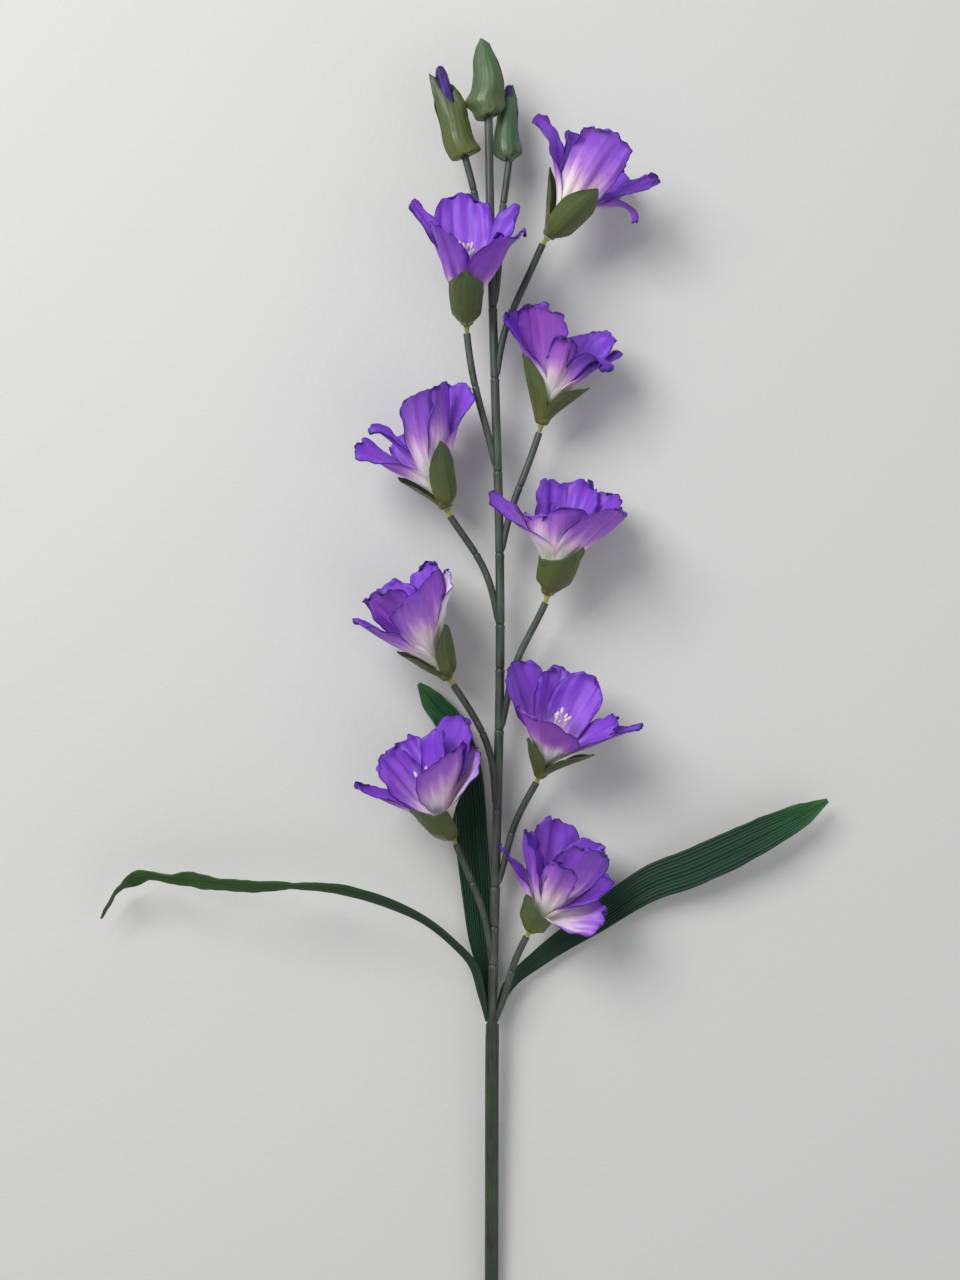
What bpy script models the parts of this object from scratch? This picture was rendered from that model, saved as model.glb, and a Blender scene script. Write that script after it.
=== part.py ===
"""An artificial gladiolus stem, lying on a table as it would after it is put down.

Frame: +Y runs along the stem from its cut end to the top bud, +X is the right side of the spike as it is looked
at, and +Z is up. The origin is on the table under the middle of the whole stem. Sizes are in millimetres until
mesh_object turns them into metres.
"""

import math
from typing import NamedTuple

import bmesh
import bpy
import numpy as np
from mathutils import Matrix

MM = 0.001

# Driving sizes
GAP = 0.3
BLADE_THICKNESS = 0.7
LEAF_THICKNESS = 0.8
LOWER_STEM_RADIUS = 4.85
LOWER_STEM_LENGTH = 260.0
SOCKET_RADIUS = 3.45
SOCKET_DEPTH = 18.0
SHEATH_RISE = 9.0
STALK_RADIUS_LOW = 2.9
STALK_RADIUS_TOP = 2.55
BRANCH_RADIUS = 2.1
BRANCH_ROOT_RADIUS = 1.7
KNUCKLE_DEPTH = 0.35
KNUCKLE_HALF_LENGTH = 1.3
PEG_RADIUS = 1.6
PEG_COLLAR_RADIUS = 2.3
PEG_LENGTH = 5.0
CUP_HEIGHT = 7.2
CUP_FOOT_RADIUS = 4.2
CUP_RIM_RADIUS = 5.4
BRACT_ROOT_RADIUS = 4.2
BRACT_ROOT_HEIGHT = 1.1
CORE_RADIUS = 4.4
CORE_HEIGHT = 4.0
OUTER_ROOT_RADIUS = 3.0
INNER_ROOT_RADIUS = 1.9
STAMEN_RADIUS = 0.55
ANTHER_RADIUS = 1.1
TABLE_CLEARANCE = 1.2
PRESS_BLEND = 1.5
TIP_ARCH = 0.13
PLUG_HEIGHT = 4.0

# The stem's centre line, from the cut end to the foot of the top bud
STEM_LINE = (
    (0.0, 0.0, 4.85),
    (0.3, 130.0, 10.6),
    (0.7, 260.0, 16.0),
    (3.0, 370.0, 20.5),
    (6.0, 513.0, 26.0),
    (5.6, 600.0, 29.0),
    (2.3, 714.0, 33.0),
    (-1.0, 833.0, 36.5),
    (-2.2, 896.0, 38.0),
)

# Heights up the stem at which the upper stalk has a moulded knuckle
KNUCKLES = (303.0, 330.0, 358.0, 413.0, 469.0, 512.0, 543.0, 593.0, 650.0, 715.0, 764.0)


class Blade(NamedTuple):
    """A petal or bract. Angles are in degrees, sizes in millimetres.

    turn is its place round the bloom's axis, 0 to the right and 90 to the viewer. spread is its angle
    from the axis at the wide part, curl the further bend of its tip, cup the bend of its sides towards
    the axis, wave the height of its ruffles and twist the turn about its own length. start is its angle
    at the root, ease the share of its length over which it reaches its spread and opens, and wrap how
    far it may reach round the axis to each side. base and tip are its widths at the ends and widest the
    place of its full width, all as shares, and blunt is how long it stays wide towards its tip.
    """

    turn: float
    length: float
    half_width: float
    spread: float
    curl: float = 0.0
    cup: float = 35.0
    wave: float = 0.0
    phase: float = 0.0
    twist: float = 0.0
    start: float = 24.0
    base: float = 0.25
    widest: float = 0.68
    tip: float = 0.68
    blunt: float = 4.0
    wrap: float = 57.0
    ease: float = 0.55


class Bloom(NamedTuple):
    """A flower: the foot of its calyx, the lean and tilt of its axis, and its petals and bracts."""

    foot: tuple
    lean: float
    tilt: float
    rests: bool
    outer: tuple
    inner: tuple
    bracts: tuple


class Bud(NamedTuple):
    """A bud: the foot of its spathe, the lean and tilt of its axis, its two bracts and its rolled petal."""

    foot: tuple
    lean: float
    tilt: float
    bracts: tuple
    petal: tuple = ()


class Branch(NamedTuple):
    """A side branch: where its root ends on the stalk, the points that it passes, and where its knuckle is."""

    root: float
    side: float
    points: tuple
    knuckle: float


class Leaf(NamedTuple):
    """A leaf: the points of its midrib, and its half width and roll at each of them."""

    points: tuple
    half_widths: tuple
    rolls: tuple
    fold: float


BRACT = {"start": 26.0, "base": 0.5, "widest": 0.5, "tip": 0.22, "blunt": 1.7, "wrap": 66.0}
SPATHE = {"start": 72.0, "ease": 0.2, "base": 0.8, "widest": 0.14, "tip": 0.22, "blunt": 1.6, "wrap": 80.0}

BLOOMS = {
    "L1": Bloom(
        foot=(-17.2, 750.4, 42.0),
        lean=0.0,
        tilt=25.0,
        rests=False,
        outer=(
            Blade(48, 72, 19, 40, 50, cup=40, wave=2.5, phase=1),
            Blade(195, 76, 13, 41, -22, cup=60, wave=2, phase=0, twist=25),
            Blade(-28, 74, 14, 40, -5, cup=50, wave=2, phase=2, twist=-20),
        ),
        inner=(
            Blade(266, 84, 24, 24, 12, cup=40, wave=3, phase=0.5),
            Blade(132, 68, 21, 28, 14, cup=50, wave=2, phase=2),
            Blade(12, 70, 19, 32, 20, cup=40, wave=2, phase=1),
        ),
        bracts=(
            Blade(106, 45, 13, 31, -8, cup=60, **BRACT),
            Blade(-82, 42, 12, 31, 0, cup=60, **BRACT),
        ),
    ),
    "R1": Bloom(
        foot=(38.9, 812.0, 38.0),
        lean=36.0,
        tilt=12.0,
        rests=False,
        outer=(
            Blade(180, 74, 14, 62, -30, cup=65, wave=2, phase=1, twist=20, start=18),
            Blade(290, 72, 20, 40, 10, cup=30, wave=2, phase=2),
            Blade(4, 62, 15, 56, 80, cup=35, wave=2, phase=1),
        ),
        inner=(
            Blade(98, 76, 24, 22, 14, cup=50, wave=2.5, phase=0),
            Blade(212, 64, 14, 34, 10, cup=50, wave=2, phase=2),
            Blade(-22, 76, 19, 34, 8, cup=40, wave=3, phase=1),
        ),
        bracts=(
            Blade(86, 54, 14, 30, 0, cup=60, **BRACT),
            Blade(228, 44, 12, 38, 0, cup=55, **BRACT),
        ),
    ),
    "R2": Bloom(
        foot=(34.7, 682.5, 31.5),
        lean=14.0,
        tilt=4.0,
        rests=True,
        outer=(
            Blade(217, 68, 17, 36, 6, cup=30, wave=2.5, phase=1, twist=30),
            Blade(318, 70, 20, 54, 20, cup=40, wave=2.5, phase=2, start=34),
            Blade(74, 56, 17, 34, 30, cup=65, wave=2, phase=0),
        ),
        inner=(
            Blade(136, 74, 24, 26, 8, cup=45, wave=3, phase=1),
            Blade(262, 72, 22, 30, 8, cup=35, wave=2.5, phase=3),
            Blade(16, 72, 19, 34, 24, cup=40, wave=2.5, phase=1),
        ),
        bracts=(
            Blade(146, 50, 12, 29, 0, cup=60, **BRACT),
            Blade(24, 40, 12, 42, 0, cup=60, **BRACT),
        ),
    ),
    "L2": Bloom(
        foot=(-31.2, 623.7, 35.0),
        lean=-22.0,
        tilt=5.0,
        rests=True,
        outer=(
            Blade(12, 78, 22, 34, 4, cup=35, wave=2.5, phase=1, twist=-28),
            Blade(262, 70, 21, 52, 10, cup=30, wave=2, phase=2),
            Blade(165, 68, 19, 45, 4, cup=45, wave=2, phase=0, start=30, twist=35),
        ),
        inner=(
            Blade(92, 74, 22, 24, 12, cup=50, wave=2.5, phase=1),
            Blade(200, 74, 17, 21, 12, cup=45, wave=3, phase=3),
            Blade(-30, 74, 20, 32, 8, cup=40, wave=3, phase=1),
        ),
        bracts=(
            Blade(66, 52, 13, 30, 0, cup=60, **BRACT),
            Blade(212, 40, 11, 40, 0, cup=55, **BRACT),
        ),
    ),
    "R3": Bloom(
        foot=(38.9, 563.5, 36.0),
        lean=13.0,
        tilt=10.0,
        rests=False,
        outer=(
            Blade(165, 76, 14, 62, -10, cup=65, wave=1.5, phase=1, twist=25, start=16),
            Blade(292, 72, 20, 44, 10, cup=30, wave=2.5, phase=2),
            Blade(32, 74, 21, 37, 10, cup=50, wave=2.5, phase=0),
        ),
        inner=(
            Blade(105, 62, 22, 26, 24, cup=55, wave=2.5, phase=1),
            Blade(258, 78, 26, 25, 5, cup=40, wave=3, phase=3),
            Blade(-24, 78, 24, 25, 8, cup=40, wave=3, phase=1),
        ),
        bracts=(
            Blade(80, 38, 16, 30, 0, cup=50, start=24.0, base=0.5, widest=0.7, tip=0.6, blunt=3.0, wrap=70.0),
            Blade(258, 38, 11, 32, 0, cup=55, **BRACT),
        ),
    ),
    "L3": Bloom(
        foot=(-29.8, 505.4, 34.0),
        lean=-33.0,
        tilt=12.0,
        rests=False,
        outer=(
            Blade(18, 66, 20, 40, -4, cup=40, wave=2.5, phase=1, twist=10),
            Blade(270, 72, 19, 44, 5, cup=30, wave=2, phase=2),
            Blade(158, 76, 18, 27, 6, cup=50, wave=2, phase=0, twist=15),
        ),
        inner=(
            Blade(72, 76, 23, 21, 4, cup=50, wave=2.5, phase=1),
            Blade(196, 74, 20, 13, 4, cup=45, wave=2.5, phase=3),
            Blade(-36, 73, 20, 25, 5, cup=40, wave=3, phase=1),
        ),
        bracts=(
            Blade(48, 44, 12, 31, 0, cup=60, **BRACT),
            Blade(196, 40, 10, 31, 0, cup=55, **BRACT),
        ),
    ),
    "R4": Bloom(
        foot=(33.3, 436.8, 30.0),
        lean=20.0,
        tilt=28.0,
        rests=False,
        outer=(
            Blade(200, 73, 25, 46, 14, cup=35, wave=3, phase=1),
            Blade(-12, 76, 18, 54, 5, cup=50, wave=2.5, phase=3),
            Blade(92, 56, 25, 36, 10, cup=35, wave=2.5, phase=0),
        ),
        inner=(
            Blade(262, 74, 24, 30, 14, cup=35, wave=3, phase=1),
            Blade(32, 64, 16, 36, 20, cup=45, wave=2, phase=2),
            Blade(145, 56, 16, 38, 15, cup=45, wave=2, phase=1),
        ),
        bracts=(
            Blade(146, 36, 11, 31, 0, cup=60, **BRACT),
            Blade(34, 52, 9.5, 40, 0, cup=60, **BRACT),
        ),
    ),
    "L4": Bloom(
        foot=(-27.0, 393.4, 28.0),
        lean=-24.0,
        tilt=22.0,
        rests=False,
        outer=(
            Blade(20, 64, 21, 30, 4, cup=40, wave=2.5, phase=1, twist=10),
            Blade(262, 72, 20, 44, 10, cup=30, wave=2, phase=2),
            Blade(160, 76, 18, 42, 2, cup=50, wave=2, phase=3),
        ),
        inner=(
            Blade(92, 76, 24, 22, 2, cup=45, wave=2.5, phase=0),
            Blade(196, 74, 21, 26, 8, cup=40, wave=3, phase=2),
            Blade(-26, 78, 26, 30, 8, cup=35, wave=3, phase=1),
        ),
        bracts=(
            Blade(118, 46, 13, 31, 0, cup=60, **BRACT),
            Blade(278, 38, 10, 36, 0, cup=55, **BRACT),
        ),
    ),
    "R5": Bloom(
        foot=(27.0, 328.3, 28.0),
        lean=28.0,
        tilt=22.0,
        rests=False,
        outer=(
            Blade(172, 66, 14, 56, 4, cup=60, wave=2, phase=1),
            Blade(292, 72, 20, 40, 8, cup=35, wave=2, phase=2),
            Blade(30, 58, 24, 54, 4, cup=35, wave=2.5, phase=0, start=34, twist=-32),
        ),
        inner=(
            Blade(100, 74, 18, 10, 3, cup=80, wave=2, phase=1, start=18),
            Blade(226, 76, 22, 30, 14, cup=40, wave=3, phase=3),
            Blade(-12, 68, 21, 25, 8, cup=45, wave=3, phase=1),
        ),
        bracts=(
            Blade(120, 38, 14, 32, 0, cup=60, **BRACT),
            Blade(262, 38, 11, 34, 0, cup=55, **BRACT),
        ),
    ),
}

BUDS = {
    "left": Bud(
        foot=(-18.6, 868.0, 40.0),
        lean=-16.0,
        tilt=3.0,
        bracts=(
            Blade(86, 54, 13, -1, 0, cup=62, **SPATHE),
            Blade(-95, 66, 12.5, -1, 0, cup=62, **SPATHE),
        ),
        petal=(66.0, 4.4),
    ),
    "top": Bud(
        foot=(-2.3, 896.3, 38.0),
        lean=-2.0,
        tilt=2.0,
        bracts=(
            Blade(92, 56, 16, -1, 0, cup=62, **SPATHE),
            Blade(-84, 55, 15, -1, 0, cup=62, **SPATHE),
        ),
    ),
    "right": Bud(
        foot=(12.4, 869.0, 28.0),
        lean=0.0,
        tilt=0.0,
        bracts=(
            Blade(84, 55, 11.5, 0, 0, cup=62, **SPATHE),
            Blade(-90, 53, 11, 0, 0, cup=62, **SPATHE),
        ),
        petal=(56.0, 3.8),
    ),
}

# side is the angle at which the root lies against the stalk, 0 to the right and 90 to the viewer
BRANCHES = {
    "L1": Branch(651.0, 150.0, ((-0.9, 672.0, 33.5), (-7.4, 691.6, 35.5), (-13.0, 714.0, 37.5)), 0.62),
    "R1": Branch(715.0, 10.0, ((6.9, 745.5, 34.6), (14.4, 762.3, 35.4), (27.0, 787.0, 36.6)), 0.5),
    "R2": Branch(593.0, 5.0, ((11.1, 617.8, 30.5), (20.2, 640.5, 32.5)), 0.55),
    "L2": Branch(543.5, 170.0, ((1.0, 568.4, 29.0), (-13.6, 597.8, 32.0)), 0.62),
    "R3": Branch(469.0, 15.0, ((11.6, 492.8, 27.5), (16.2, 518.0, 30.5)), 0.5),
    "L3": Branch(414.0, 160.0, ((1.2, 450.1, 26.5), (-8.8, 473.9, 29.5)), 0.58),
    "R4": Branch(358.5, 20.0, ((7.4, 366.0, 21.5), (12.7, 393.4, 22.6), (24.2, 420.0, 24.4)), 0.5),
    "L4": Branch(303.5, 155.0, ((-1.7, 329.7, 21.5), (-6.0, 343.7, 22.8), (-17.5, 371.0, 25.5)), 0.68),
    "R5": Branch(262.0, 25.0, ((6.9, 271.6, 19.0), (13.7, 299.6, 22.5)), 0.6),
    "bud_left": Branch(790.0, 165.0, ((-5.6, 806.0, 36.6), (-11.9, 844.2, 38.6)), 0.7),
    "bud_right": Branch(764.5, -25.0, ((5.2, 791.0, 33.4), (6.6, 830.0, 31.0)), 0.7),
}

LEAVES = {
    "left": Leaf(
        points=(
            (-3.7, 263.5, 16.2),
            (-6.6, 282.0, 18.5),
            (-12.3, 303.1, 23.0),
            (-27.7, 321.3, 29.0),
            (-45.9, 336.7, 35.0),
            (-66.9, 347.9, 40.0),
            (-100.5, 359.1, 45.0),
            (-138.3, 362.6, 46.0),
            (-175.4, 362.6, 43.0),
            (-213.2, 365.4, 36.0),
            (-254.5, 362.6, 26.0),
            (-263.6, 353.5, 22.0),
            (-277.6, 336.0, 14.0),
        ),
        half_widths=(2.6, 3.6, 5.0, 6.5, 8.0, 9.0, 10.0, 10.5, 10.5, 10.0, 7.0, 5.0, 0.8),
        rolls=(90, 90, 85, 75, 68, 65, 63, 66, 66, 60, 62, 70, 70),
        fold=0.10,
    ),
    "middle": Leaf(
        points=(
            (-1.9, 262.5, 11.6),
            (-3.5, 290.5, 10.4),
            (-8.0, 322.0, 9.0),
            (-10.5, 353.5, 8.0),
            (-13.7, 385.0, 7.5),
            (-15.8, 416.5, 7.5),
            (-19.5, 444.5, 8.0),
            (-31.0, 474.6, 9.0),
            (-43.0, 490.0, 11.0),
            (-51.5, 501.2, 13.0),
        ),
        half_widths=(2.6, 5.5, 8.5, 10.5, 11.3, 11.3, 11.0, 10.0, 7.5, 0.8),
        rolls=(0, 0, 5, 5, 0, -5, -8, -10, 0, 10),
        fold=0.12,
    ),
    "right": Leaf(
        points=(
            (4.0, 262.5, 11.4),
            (11.5, 285.6, 10.6),
            (34.7, 312.9, 10.5),
            (73.2, 338.1, 11.5),
            (113.8, 360.5, 15.5),
            (140.4, 371.0, 19.5),
            (165.6, 382.9, 22.5),
            (190.0, 394.8, 23.5),
            (220.0, 409.5, 21.0),
            (237.7, 418.6, 18.0),
        ),
        half_widths=(2.6, 5.5, 8.7, 10.2, 13.0, 13.3, 13.0, 12.0, 8.0, 0.8),
        rolls=(-20, -15, -10, -5, 0, 5, 8, 5, 0, 0),
        fold=0.12,
    ),
}

LEAF_GRID = (4, 14)
SPATHE_GRID = (4, (0.0, 0.1, 0.4, 0.75, 1.0))


def clear_scene():
    """Remove the objects that a new scene holds."""
    for obj in list(bpy.data.objects):
        bpy.data.objects.remove(obj)


def finish(name, colour, roughness):
    """A Principled material with an opaque colour."""
    mat = bpy.data.materials.new(name)
    mat.use_nodes = True
    shader = mat.node_tree.nodes["Principled BSDF"]
    shader.inputs["Base Color"].default_value = (*colour, 1.0)
    shader.inputs["Roughness"].default_value = roughness
    return mat


def signed_volume(points, faces):
    """Positive where the faces of a closed shape are turned outwards."""
    total = 0.0
    for face in faces:
        for b, c in zip(face[1:-1], face[2:]):
            total += np.dot(points[face[0]], np.cross(points[b], points[c]))
    return total


def mesh_object(name, points, faces, mat, parent=None):
    """An object from points in millimetres, with its faces turned outwards."""
    points = np.asarray(points, float)
    if signed_volume(points, faces) < 0:
        faces = [face[::-1] for face in faces]
    mesh = bpy.data.meshes.new(name)
    mesh.from_pydata([tuple(p * MM) for p in points], [], faces)
    mesh.materials.append(mat)
    obj = bpy.data.objects.new(name, mesh)
    obj.parent = parent
    bpy.context.scene.collection.objects.link(obj)
    return obj


def empty(name, parent=None):
    """A plain axes object that carries others."""
    obj = bpy.data.objects.new(name, None)
    obj.parent = parent
    bpy.context.scene.collection.objects.link(obj)
    return obj


def fuse(base, pieces):
    """Join the pieces to the base with one Boolean union, and remove them."""
    group = bpy.data.collections.new(base.name + "_pieces")
    bpy.context.scene.collection.children.link(group)
    for piece in pieces:
        bpy.context.scene.collection.objects.unlink(piece)
        group.objects.link(piece)
    union = base.modifiers.new("union", "BOOLEAN")
    union.operation = "UNION"
    union.operand_type = "COLLECTION"
    union.collection = group
    graph = bpy.context.evaluated_depsgraph_get()
    joined = bpy.data.meshes.new_from_object(base.evaluated_get(graph))
    base.modifiers.remove(union)
    base.data = joined
    drop_scraps(joined)
    for piece in pieces:
        bpy.data.objects.remove(piece)
    bpy.data.collections.remove(group)
    return base


def islands(shape):
    """The connected bodies of a mesh, as sets of faces."""
    left = set(shape.faces)
    while left:
        found = {left.pop()}
        edge = set(found)
        while edge:
            edge = {face for near in edge for link in near.edges for face in link.link_faces} - found
            found |= edge
        left -= found
        yield found


def drop_scraps(mesh):
    """Drop every loose scrap that a union leaves."""
    shape = bmesh.new()
    shape.from_mesh(mesh)
    bodies = sorted(islands(shape), key=lambda faces: sum(face.calc_area() for face in faces))
    scraps = [face for body in bodies[:-1] for face in body]
    bmesh.ops.delete(shape, geom=scraps, context="FACES")
    shape.to_mesh(mesh)
    shape.free()


def smooth_step(value):
    """0 below 0, 1 above 1, and an even S between."""
    t = np.clip(value, 0.0, 1.0)
    return t * t * (3 - 2 * t)


class Line:
    """A smooth curve through points, read by its distance along the points' straight runs."""

    def __init__(self, points):
        self.points = np.array(points, float)
        steps = np.linalg.norm(np.diff(self.points, axis=0), axis=1)
        self.at = np.concatenate([[0.0], np.cumsum(steps)])
        self.length = self.at[-1]
        slopes = np.diff(self.points, axis=0) / steps[:, None]
        near, far = steps[:-1, None], steps[1:, None]
        inner = (slopes[:-1] * far + slopes[1:] * near) / (near + far)
        self.tangents = np.vstack([slopes[:1], inner, slopes[-1:]])

    def place(self, distance):
        """The point at a distance along the curve. Past the ends it goes straight on."""
        i = int(np.clip(np.searchsorted(self.at, distance) - 1, 0, len(self.at) - 2))
        if distance < 0:
            return self.points[0] + self.tangents[0] * distance
        if distance > self.length:
            return self.points[-1] + self.tangents[-1] * (distance - self.length)
        span = self.at[i + 1] - self.at[i]
        t = (distance - self.at[i]) / span
        rise = t * t * (3 - 2 * t)
        return (
            self.points[i] * (1 - rise)
            + self.points[i + 1] * rise
            + self.tangents[i] * span * t * (1 - t) ** 2
            - self.tangents[i + 1] * span * t * t * (1 - t)
        )

    def direction(self, distance):
        """The unit vector along the curve."""
        way = self.place(distance + 0.5) - self.place(distance - 0.5)
        return way / np.linalg.norm(way)

    def at_height(self, y):
        """The distance at which the curve reaches a place up the stem."""
        distances = np.linspace(0, self.length, 400)
        heights = [self.place(d)[1] for d in distances]
        return float(np.interp(y, heights, distances))


STEM = Line(STEM_LINE)


def stem_centre(y):
    """The centre of the stem at a place up it."""
    return STEM.place(STEM.at_height(y))


def rings(line, stations, sides, lift=None):
    """Points and faces of a closed turned shape along a line, from its (distance, radius) stations."""
    points = []
    turn = np.radians(-90 + 360 * np.arange(sides) / sides)
    for number, (distance, radius) in enumerate(stations):
        along = line.direction(distance)
        side = np.cross(along, (0, 0, 1))
        side /= np.linalg.norm(side)
        front = np.cross(side, along)
        shift = lift(number, turn) if lift else np.zeros(sides)
        centre = line.place(distance)
        for angle, rise in zip(turn, shift):
            points.append(centre + radius * (math.cos(angle) * side + math.sin(angle) * front) + rise * along)
    faces = []
    for ring in range(len(stations) - 1):
        low, high = ring * sides, (ring + 1) * sides
        for k in range(sides):
            n = (k + 1) % sides
            faces.append((low + k, low + n, high + n, high + k))
    last = (len(stations) - 1) * sides
    faces.append(tuple(range(sides - 1, -1, -1)))
    faces.append(tuple(range(last, last + sides)))
    return np.array(points), faces


def turned(name, stations, sides, mat, parent=None):
    """A turned piece along its own +Y axis, from its (height, radius) stations."""
    axis = Line(((0, 0, 0), (0, 1, 0)))
    points, faces = rings(axis, stations, sides)
    return mesh_object(name, points, faces, mat, parent)


def with_knuckles(start, end, radius_at, knuckles):
    """Stations of a stalk with a shallow groove at each knuckle."""
    stations = [(start, radius_at(start))]
    for place in knuckles:
        stations.append((place - KNUCKLE_HALF_LENGTH, radius_at(place)))
        stations.append((place, radius_at(place) - KNUCKLE_DEPTH))
        stations.append((place + KNUCKLE_HALF_LENGTH, radius_at(place)))
    stations.append((end, radius_at(end)))
    return stations


def sheet_solid(surface, normal, thickness):
    """Points and triangles of a thin closed blade round a grid of points, split alike on both faces."""
    along, across = surface.shape[0] - 1, surface.shape[1] - 1
    faces = [surface + normal * thickness / 2, surface - normal * thickness / 2]
    points = np.concatenate([face.reshape(-1, 3) for face in faces])
    back = surface.shape[0] * surface.shape[1]
    row = across + 1
    triangles = []
    for i in range(along):
        for j in range(across):
            a, b = i * row + j, i * row + j + 1
            c, d = a + row, b + row
            front = ((a, c, b), (b, c, d)) if j < across / 2 else ((a, c, d), (a, d, b))
            for p, q, r in front:
                triangles.append((p, q, r))
                triangles.append((back + p, back + r, back + q))
    rim = [j for j in range(across + 1)]
    rim += [i * row + across for i in range(1, along + 1)]
    rim += [along * row + j for j in range(across - 1, -1, -1)]
    rim += [i * row for i in range(along - 1, 0, -1)]
    for p, q in zip(rim, rim[1:] + rim[:1]):
        triangles += [(p, q, back + q), (p, back + q, back + p)]
    return points, triangles


def rows_to_tip(count):
    """Shares of a blade's length, closer together towards its tip."""
    return tuple(1 - (1 - k / count) ** 1.3 for k in range(count + 1))


PETAL_GRID = (4, rows_to_tip(5))
BRACT_GRID = (4, rows_to_tip(3))


def outline(blade, v):
    """The half width of a blade at a share v of its length, as a share of its widest."""
    rise = blade.base + (1 - blade.base) * np.sin(np.pi / 2 * np.clip(v / blade.widest, 0, 1))
    past = np.clip((v - blade.widest) / (1 - blade.widest), 0, 1)
    fall = blade.tip + (1 - blade.tip) * (1 - past**blade.blunt)
    return np.where(v < blade.widest, rise, fall)


def blade_surface(blade, root_radius, root_height, grid):
    """The middle surface of a petal or bract and its normals, in its bloom's frame, whose +Y is the axis."""
    across, rows = grid
    v, u = np.meshgrid(rows, np.linspace(-1, 1, across + 1), indexing="ij")
    arch = min(TIP_ARCH, blade.tip * blade.half_width / blade.length)
    share = v * (1 - arch * u**2 * v**3)
    fine = np.linspace(0, 1, 81)
    angle = blade.start + (blade.spread - blade.start) * smooth_step(fine / blade.ease)
    angle = np.radians(angle + blade.curl * np.clip((fine - 0.6) / 0.4, 0, 1) ** 1.5)
    step = blade.length / 80
    middle = (angle[1:] + angle[:-1]) / 2
    out = root_radius + np.concatenate([[0], np.cumsum(np.sin(middle) * step)])
    up = root_height + np.concatenate([[0], np.cumsum(np.cos(middle) * step)])
    lean = np.interp(share, fine, angle)
    radius = np.interp(share, fine, out)
    height = np.interp(share, fine, up)
    widest_here = blade.half_width * outline(blade, v)
    room = np.radians(blade.wrap) * np.maximum(radius, 2.0)
    width = u * (widest_here**-6 + room**-6) ** (-1 / 6)
    opened = smooth_step((v - 0.12) / (blade.ease - 0.05))
    bend = (1 - opened) / np.maximum(radius, 3.0) + opened * np.radians(blade.cup) / blade.half_width
    sideways = width * np.sinc(width * bend / np.pi)
    inwards = width * np.sin(width * bend / 2) * np.sinc(width * bend / (2 * np.pi))
    ripple = np.sin(2 * np.pi * 1.5 * v + blade.phase + 2.6 * u) * (0.75 * u**2 + 0.25)
    inwards = inwards + blade.wave * ripple * v**2
    twist = np.radians(blade.twist) * v**2
    sideways, inwards = (
        sideways * np.cos(twist) - inwards * np.sin(twist),
        sideways * np.sin(twist) + inwards * np.cos(twist),
    )
    turn = math.radians(blade.turn)

    def placed(side, inward, out, up):
        """Side, inward, outward and upward shares of a point or a direction, turned round the axis."""
        reach = out - inward * np.cos(lean)
        x = reach * math.cos(turn) - side * math.sin(turn)
        z = reach * math.sin(turn) + side * math.cos(turn)
        return np.stack([x, up + inward * np.sin(lean), z], axis=-1)

    face = width * bend + twist
    return placed(sideways, inwards, radius, height), placed(-np.sin(face), np.cos(face), 0.0, 0.0)


def pose(foot, lean, tilt):
    """Rotation rows and place of a bloom: its own X to the side, Y along its axis and Z to the viewer."""
    a, b = math.radians(lean), math.radians(tilt)
    axis = np.array([math.sin(a) * math.cos(b), math.cos(a) * math.cos(b), math.sin(b)])
    side = np.array([math.cos(a), -math.sin(a), 0.0])
    return np.stack([side, axis, np.cross(side, axis)]), np.array(foot)


def pressed(surface, normal, frame, level):
    """The surface and its normals, with whatever would sink below a level bent up to lie along it."""
    turn, foot = frame
    world = surface @ turn + foot
    facing = normal @ turn
    depth = world[..., 2] - level
    slope = np.clip((depth + PRESS_BLEND) / (2 * PRESS_BLEND), 0, 1)
    world[..., 2] = level + np.where(depth > PRESS_BLEND, depth, PRESS_BLEND * slope**2)
    facing[..., :2] *= slope[..., None]
    facing /= np.linalg.norm(facing, axis=-1, keepdims=True)
    return (world - foot) @ turn.T, facing @ turn.T


def blade_object(name, blade, root_radius, root_height, grid, mat, frame, level, parent):
    """A petal or bract as a solid of its own, nowhere lower than its level over the table."""
    surface, normal = blade_surface(blade, root_radius, root_height, grid)
    points, faces = sheet_solid(*pressed(surface, normal, frame, level), BLADE_THICKNESS)
    return mesh_object(name, points, faces, mat, parent)


def carrier(name, foot, lean, tilt, parent):
    """The empty that places a bloom or a bud."""
    turn, place = pose(foot, lean, tilt)
    obj = empty(name, parent)
    matrix = Matrix([list(row) for row in turn.T]).to_4x4()
    matrix.translation = [c * MM for c in place]
    obj.matrix_local = matrix
    return obj


def petals(name, bloom, mat, parent):
    """Six petals in two layers, gathered on a core."""
    frame = pose(bloom.foot, bloom.lean, bloom.tilt)
    level = BLADE_THICKNESS / 2 + (0.0 if bloom.rests else TABLE_CLEARANCE)
    low = CUP_HEIGHT + GAP
    stations = ((low, CORE_RADIUS - 1.2), (low + 1.0, CORE_RADIUS), (low + CORE_HEIGHT, CORE_RADIUS))
    core = turned(name, stations, 9, mat, parent)
    pieces = []
    for radius, layer in ((OUTER_ROOT_RADIUS, bloom.outer), (INNER_ROOT_RADIUS, bloom.inner)):
        for blade in layer:
            pieces.append(
                blade_object("petal", blade, radius, low + 1.2, PETAL_GRID, mat, frame, level, parent)
            )
    return fuse(core, pieces)


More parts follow.
